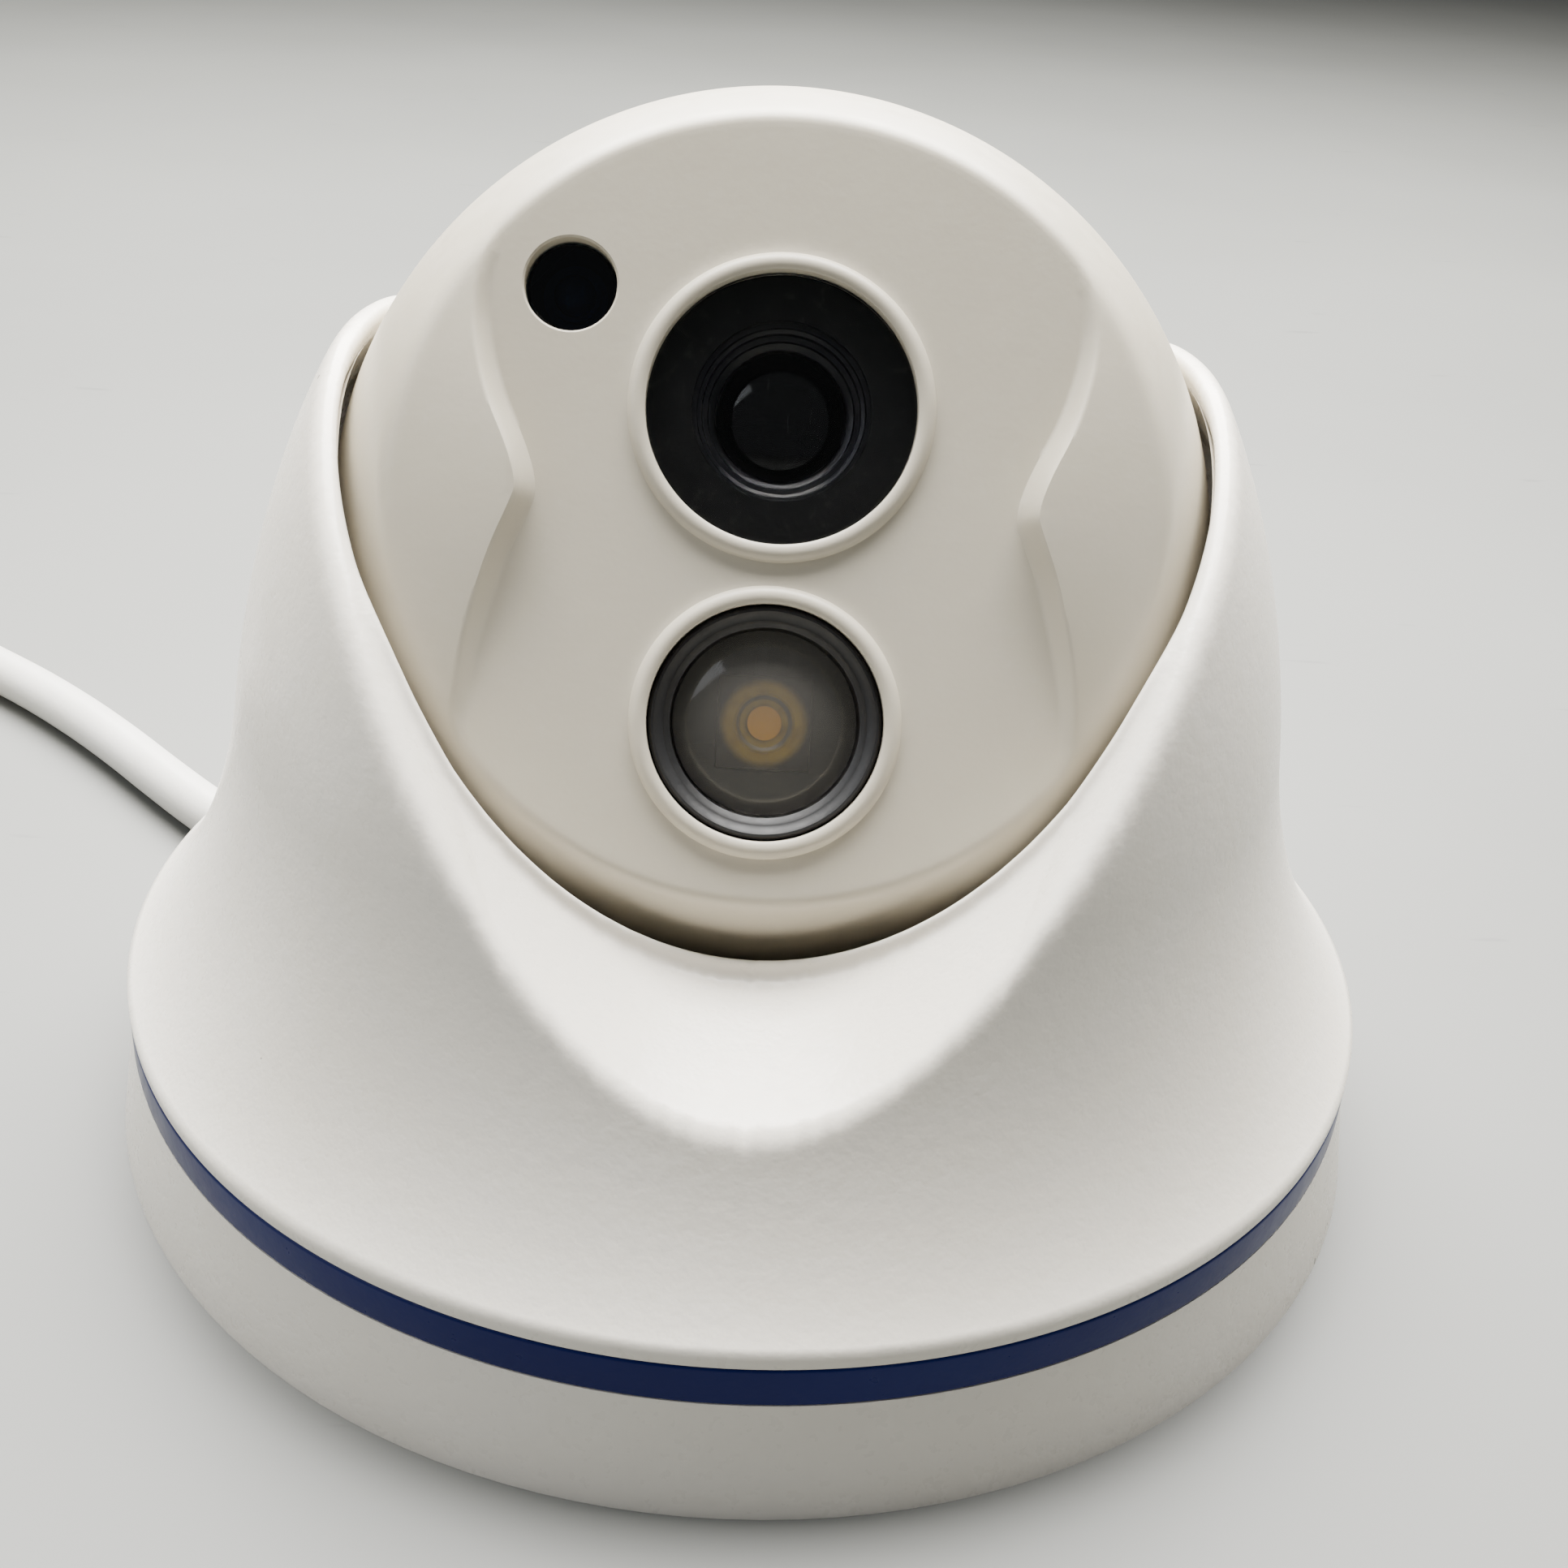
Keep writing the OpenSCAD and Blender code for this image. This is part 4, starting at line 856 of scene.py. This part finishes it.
holder = [(4.4, 0), (6.9, 0), (7.1, 0.2), (7.1, holder_h - 0.25), (6.92, holder_h),
          (6.78, holder_h),
          (6.66, holder_h - 0.16), (6.34, holder_h - 0.42), (6.22, holder_h - 0.46),
          (6.12, holder_h - 0.62), (5.82, holder_h - 0.85), (5.78, seat_h), (4.4, seat_h)]
holder = turned("stepped_holder", holder, black_pps, steps=128, axis=along_axis(lamp_at, lamp_low),
                sharp=25, closed=True)
stand_for(holder, "ball", "black_plastic", "lamp_holder")
resin = clear("lens_resin", (0.86, 0.82, 0.74), 0.10, dust=0.05, scratch=0.1, ior=1.4,
              clearness=0.94)
collimator = [(0, 1.3), (1.0, 1.2), (1.6, 0.7), (1.7, 0.02), (5.5, 0.02), (5.68, 0.2), (5.68, 1.9)]
for i in range(17):
    r = 5.62 * (1 - (i / 16) ** 1.15)
    collimator.append((r, 3.6 - 11 + math.sqrt(121 - r ** 2)))
collimator = turned("collimating_lens", collimator, resin, steps=128,
                    axis=along_axis(lamp_at, lamp_low + seat_h), sharp=30)
stand_for(collimator, "ball", "lamp_resin", "lamp_lens")

# ---- Light sensor and its window ----
# A small blue-filtered photodiode behind a smoked acrylic disc; it switches the lamp on at night.
blue_epoxy = moulded("blue_epoxy", (0.05, 0.07, 0.22), (0.08, 0.10, 0.16), 0.2, fleck=0.02,
                     dust=0.05, gloss_coat=0.6)
finish_node("light_sensor", blue_epoxy, sharp=40)
smoked = clear("smoked_acrylic", (0.10, 0.15, 0.20), 0.02, dust=0.05, ior=1.3)
disc = [(0, 0), (2.6, 0), (2.7, 0.1), (2.7, 0.65), (2.55, 0.8), (0, 0.8)]
smoked_disc = turned("smoked_disc", disc, smoked, steps=64, axis=along_axis(eye_at, 15.8))
stand_for(smoked_disc, "ball", "lens_glass", "sensor_window")

# ---- Cable gland, clamp and inner cable ----
# A soft white gland closes the notch in the base wall. A plated steel strap and two screws grip the
# cable inside, and a black jacketed cable carries on from there into the turning ball.
white_tpe = moulded("white_tpe", (0.66, 0.65, 0.62), (0.58, 0.56, 0.52), 0.5, glow=0.05)
finish_node("cable_gland", white_tpe, sharp=35)
finish_node("cable_clamp", zinc_steel, sharp=30)
finish_node("clamp_screws", zinc_steel, sharp=30)
finish_node("inner_cable", black_cable, sharp=40)

# ---- Cord ----
# A white PVC cord. It leaves the base through the gland, lies on the table, and its spare length is
# wound in a flat-topped coil before it runs into the splitter.
white_pvc = moulded("white_pvc", (0.66, 0.65, 0.62), (0.60, 0.585, 0.54), 0.36,
                    ripple=(420.0, 2400.0, 0.3), depth=0.03, fleck=0.08, dust=0.2, glow=0.06)
cord_d, coil_at, coil_r, coil_from, coil_to, coil_low = 4.5, (-112.0, 47.0), 25.0, 58.0, 900.0, 2.85
run_out = [(-41, 21.8, 2.25), (-46, 24.6, 2.25), (-50, 28, 2.25), (-55, 33, 2.25),
           (-60.5, 38.7, 2.25), (-66, 44, 2.25), (-72, 49.2, 2.25), (-78, 53.8, 2.25),
           (-84, 58, 2.4), (-90, 62.2, 2.6), (-94.4, 65.3, 2.75)]
run_down = [(-137.15, 44, 13.4), (-137.6, 41, 13.3), (-138.3, 38.5, 12.8), (-138.6, 36.3, 11.9),
            (-138.6, 34, 10.5), (-138.4, 31, 8.4), (-138, 28, 6.2), (-137.6, 25, 4.3),
            (-137.2, 22, 3.0), (-137, 19.5, 2.4), (-137, 16.5, 2.26)]


def sweep_tube(name, path, radius, finish, sides=20):
    """A round tube along points in millimetres, with flat ends and no twist."""
    path = np.array(path, float)
    heading = np.gradient(path, axis=0)
    heading /= np.linalg.norm(heading, axis=1)[:, None]
    across = np.cross(heading[0], (0, 0, 1.0))
    across /= np.linalg.norm(across)
    points, faces = [], []
    for place, ahead in zip(path, heading):
        across = across - ahead * (across @ ahead)
        across /= np.linalg.norm(across)
        lift = np.cross(ahead, across)
        for k in range(sides):
            turn = 2 * math.pi * k / sides
            points.append((place + radius * (math.cos(turn) * across + math.sin(turn) * lift)) * mm)
    for i in range(len(path) - 1):
        for k in range(sides):
            j = (k + 1) % sides
            a, b = i * sides, (i + 1) * sides
            faces.append((a + k, a + j, b + j, b + k))
    faces.append(tuple(range(sides))[::-1])
    faces.append(tuple((len(path) - 1) * sides + k for k in range(sides)))
    return mesh_piece(name, points, faces, finish, 50)


coil = []
for degrees in np.arange(coil_from, coil_to + 0.1, 8.0):
    turn = math.radians(degrees)
    coil.append((coil_at[0] + coil_r * math.cos(turn), coil_at[1] + coil_r * math.sin(turn),
                 coil_low + (degrees - coil_from) / 360 * cord_d))
trunk_path = smooth_line(run_out + coil + run_down, 3)
trunk = sweep_tube("trunk_cord", trunk_path, cord_d / 2 - 0.02, white_pvc, sides=24)
stand_for(trunk, "base", "cable_pvc", "cord", "cord_coil", "cord_tail")

# ---- Coil tie ----
# A black woven strap that goes once round the coil and holds its turns together.
woven = moulded("woven_strap", (0.02, 0.02, 0.021), (0.05, 0.05, 0.048), 0.75,
                ripple=(2600.0, 7000.0, 0.8), depth=0.08, fleck=0.03, dust=0.04)
strap_w, strap_t, strap_side, strap_low, strap_high = 3.2, 0.5, 2.4, 0.55, 15.75
loop = soft_corners([(-strap_side, strap_low), (strap_side, strap_low), (strap_side, strap_high),
                     (-strap_side, strap_high)], 1.8, steps=8)
points, faces = [], []
for i, (y, z) in enumerate(loop):
    before, after = Vector(loop[i - 1]), Vector(loop[(i + 1) % len(loop)])
    flow = (after - before).normalized()
    out = Vector((flow[1], -flow[0])) * strap_t
    for x, share in ((-strap_w / 2, 0), (strap_w / 2, 0), (strap_w / 2, 1), (-strap_w / 2, 1)):
        points.append(((coil_at[0] + x) * mm, (coil_at[1] - coil_r + y + share * out[0]) * mm,
                       (z + share * out[1]) * mm))
for i in range(len(loop)):
    j = (i + 1) % len(loop)
    for k in range(4):
        m = (k + 1) % 4
        faces.append((4 * i + k, 4 * j + k, 4 * j + m, 4 * i + m))
tie = mesh_piece("strap_loop", points, faces, woven, 40)
stand_for(tie, "base", "black_plastic", "coil_tie")

# ---- Splitter ----
# A white PVC block moulded over the joint where the cord divides into the video and power leads.
sections = [(16.95, 2.75, 2.5, 2.55), (16.2, 3.3, 2.75, 2.8), (14.4, 4.1, 2.9, 2.95),
            (12.5, 4.45, 2.97, 3.0), (7.2, 4.45, 2.97, 3.0), (6.5, 4.3, 2.85, 3.0),
            (6.05, 3.9, 2.5, 3.0)]
points, faces, around, middle_x, squareness = [], [], 40, -137, 0.55
for y, half_w, half_h, mid_z in sections:
    for k in range(around):
        turn = 2 * math.pi * k / around
        c, s = math.cos(turn), math.sin(turn)
        points.append(((middle_x + half_w * math.copysign(abs(c) ** squareness, c)) * mm, y * mm,
                       (mid_z + half_h * math.copysign(abs(s) ** squareness, s)) * mm))
for i in range(len(sections) - 1):
    for k in range(around):
        j = (k + 1) % around
        faces.append((i * around + k, (i + 1) * around + k, (i + 1) * around + j, i * around + j))
faces.append(tuple(range(around)))
faces.append(tuple((len(sections) - 1) * around + k for k in range(around))[::-1])
splitter = mesh_piece("moulded_splitter", points, faces, white_pvc, 40)
stand_for(splitter, "base", "cable_pvc", "lead_splitter")

# ---- Video lead and its socket ----
# A thin coaxial lead with a ribbed PVC boot and a nickel-plated bayonet socket, in which a white
# insulator holds a brass contact.
lead_d, boot_start, boot_l, jack_l = 3.2, -24.0, 15.0, 19.0
video_at, power_at = (-141.0, 5.6), (-128.0, 5.0)
video_run = [(-139.2, 6, 2), (-139.2, 3.5, 2), (-139.4, 0, 2.2), (-139.8, -4, 2.9),
             (-140.3, -8, 3.9), (-140.7, -12, 4.9), (-141, -16, 5.5), (-141, -20, 5.6),
             (-141, -24, 5.6)]
video_path = smooth_line(video_run, 4)
video_lead = sweep_tube("video_wire", video_path, lead_d / 2 - 0.01, white_pvc)
stand_for(video_lead, "base", "cable_pvc", "video_lead")


def along_lead(at):
    """Frame of a connector at the end of a lead, with its own +Z out of the connector's mouth."""
    return (Matrix.Translation((at[0] * mm, boot_start * mm, at[1] * mm))
            @ Matrix.Rotation(math.radians(90), 4, "X"))


boot = [(0, 0.02), (2.3, 0.02), (2.9, 0.5)]
for i in range(4):
    low = 1.2 + 1.9 * i
    boot += [(3.1 + 0.32 * i, low), (3.7 + 0.42 * i, low + 0.25), (3.8 + 0.42 * i, low + 1.15),
             (3.2 + 0.34 * i, low + 1.4)]
boot += [(4.6, 9.0), (5.3, 9.5), (5.38, 10.0), (5.38, 14.6), (5.1, boot_l), (0, boot_l)]
boot = turned("ribbed_boot", boot, white_pvc, steps=64, axis=along_lead(video_at), sharp=40)
stand_for(boot, "base", "cable_pvc", "video_boot")
nickel = metal("nickel_plate", (0.72, 0.70, 0.66), (0.60, 0.57, 0.52), 0.18)
video_shell = finish_node("video_shell", nickel, sharp=30)
video_insulator = finish_node("video_insulator", ivory_nylon, sharp=30)
video_contact = finish_node("video_contact", brass, sharp=30)

# ---- Power lead and its jack ----
# A lead of the same kind that ends in a black moulded barrel jack with a plated centre pin.
power_run = [(-134.8, 6, 2), (-134.8, 3.5, 2), (-134, 0, 2.2), (-132.3, -4, 2.7), (-130.2, -8, 3.4),
             (-128.6, -12, 4.3), (-128, -16, 4.9), (-128, -20, 5), (-128, -24, 5)]
power_path = smooth_line(power_run, 4)
power_lead = sweep_tube("power_wire", power_path, lead_d / 2 - 0.01, white_pvc)
stand_for(power_lead, "base", "cable_pvc", "power_lead")
jack = [(0, 0.02), (3.3, 0.02), (4.1, 0.6), (4.88, 2.4), (4.88, 7.0), (4.6, 7.3), (4.6, 7.9),
        (4.88, 8.2), (4.88, jack_l - 0.5), (4.5, jack_l), (3.1, jack_l), (2.8, jack_l - 0.3),
        (2.8, 9.5), (0, 9.5)]
jack = turned("barrel_jack", jack, black_pps, steps=64, axis=along_lead(power_at), sharp=40)
stand_for(jack, "base", "black_plastic", "power_jack")
power_contact = finish_node("power_contact", nickel, sharp=30)
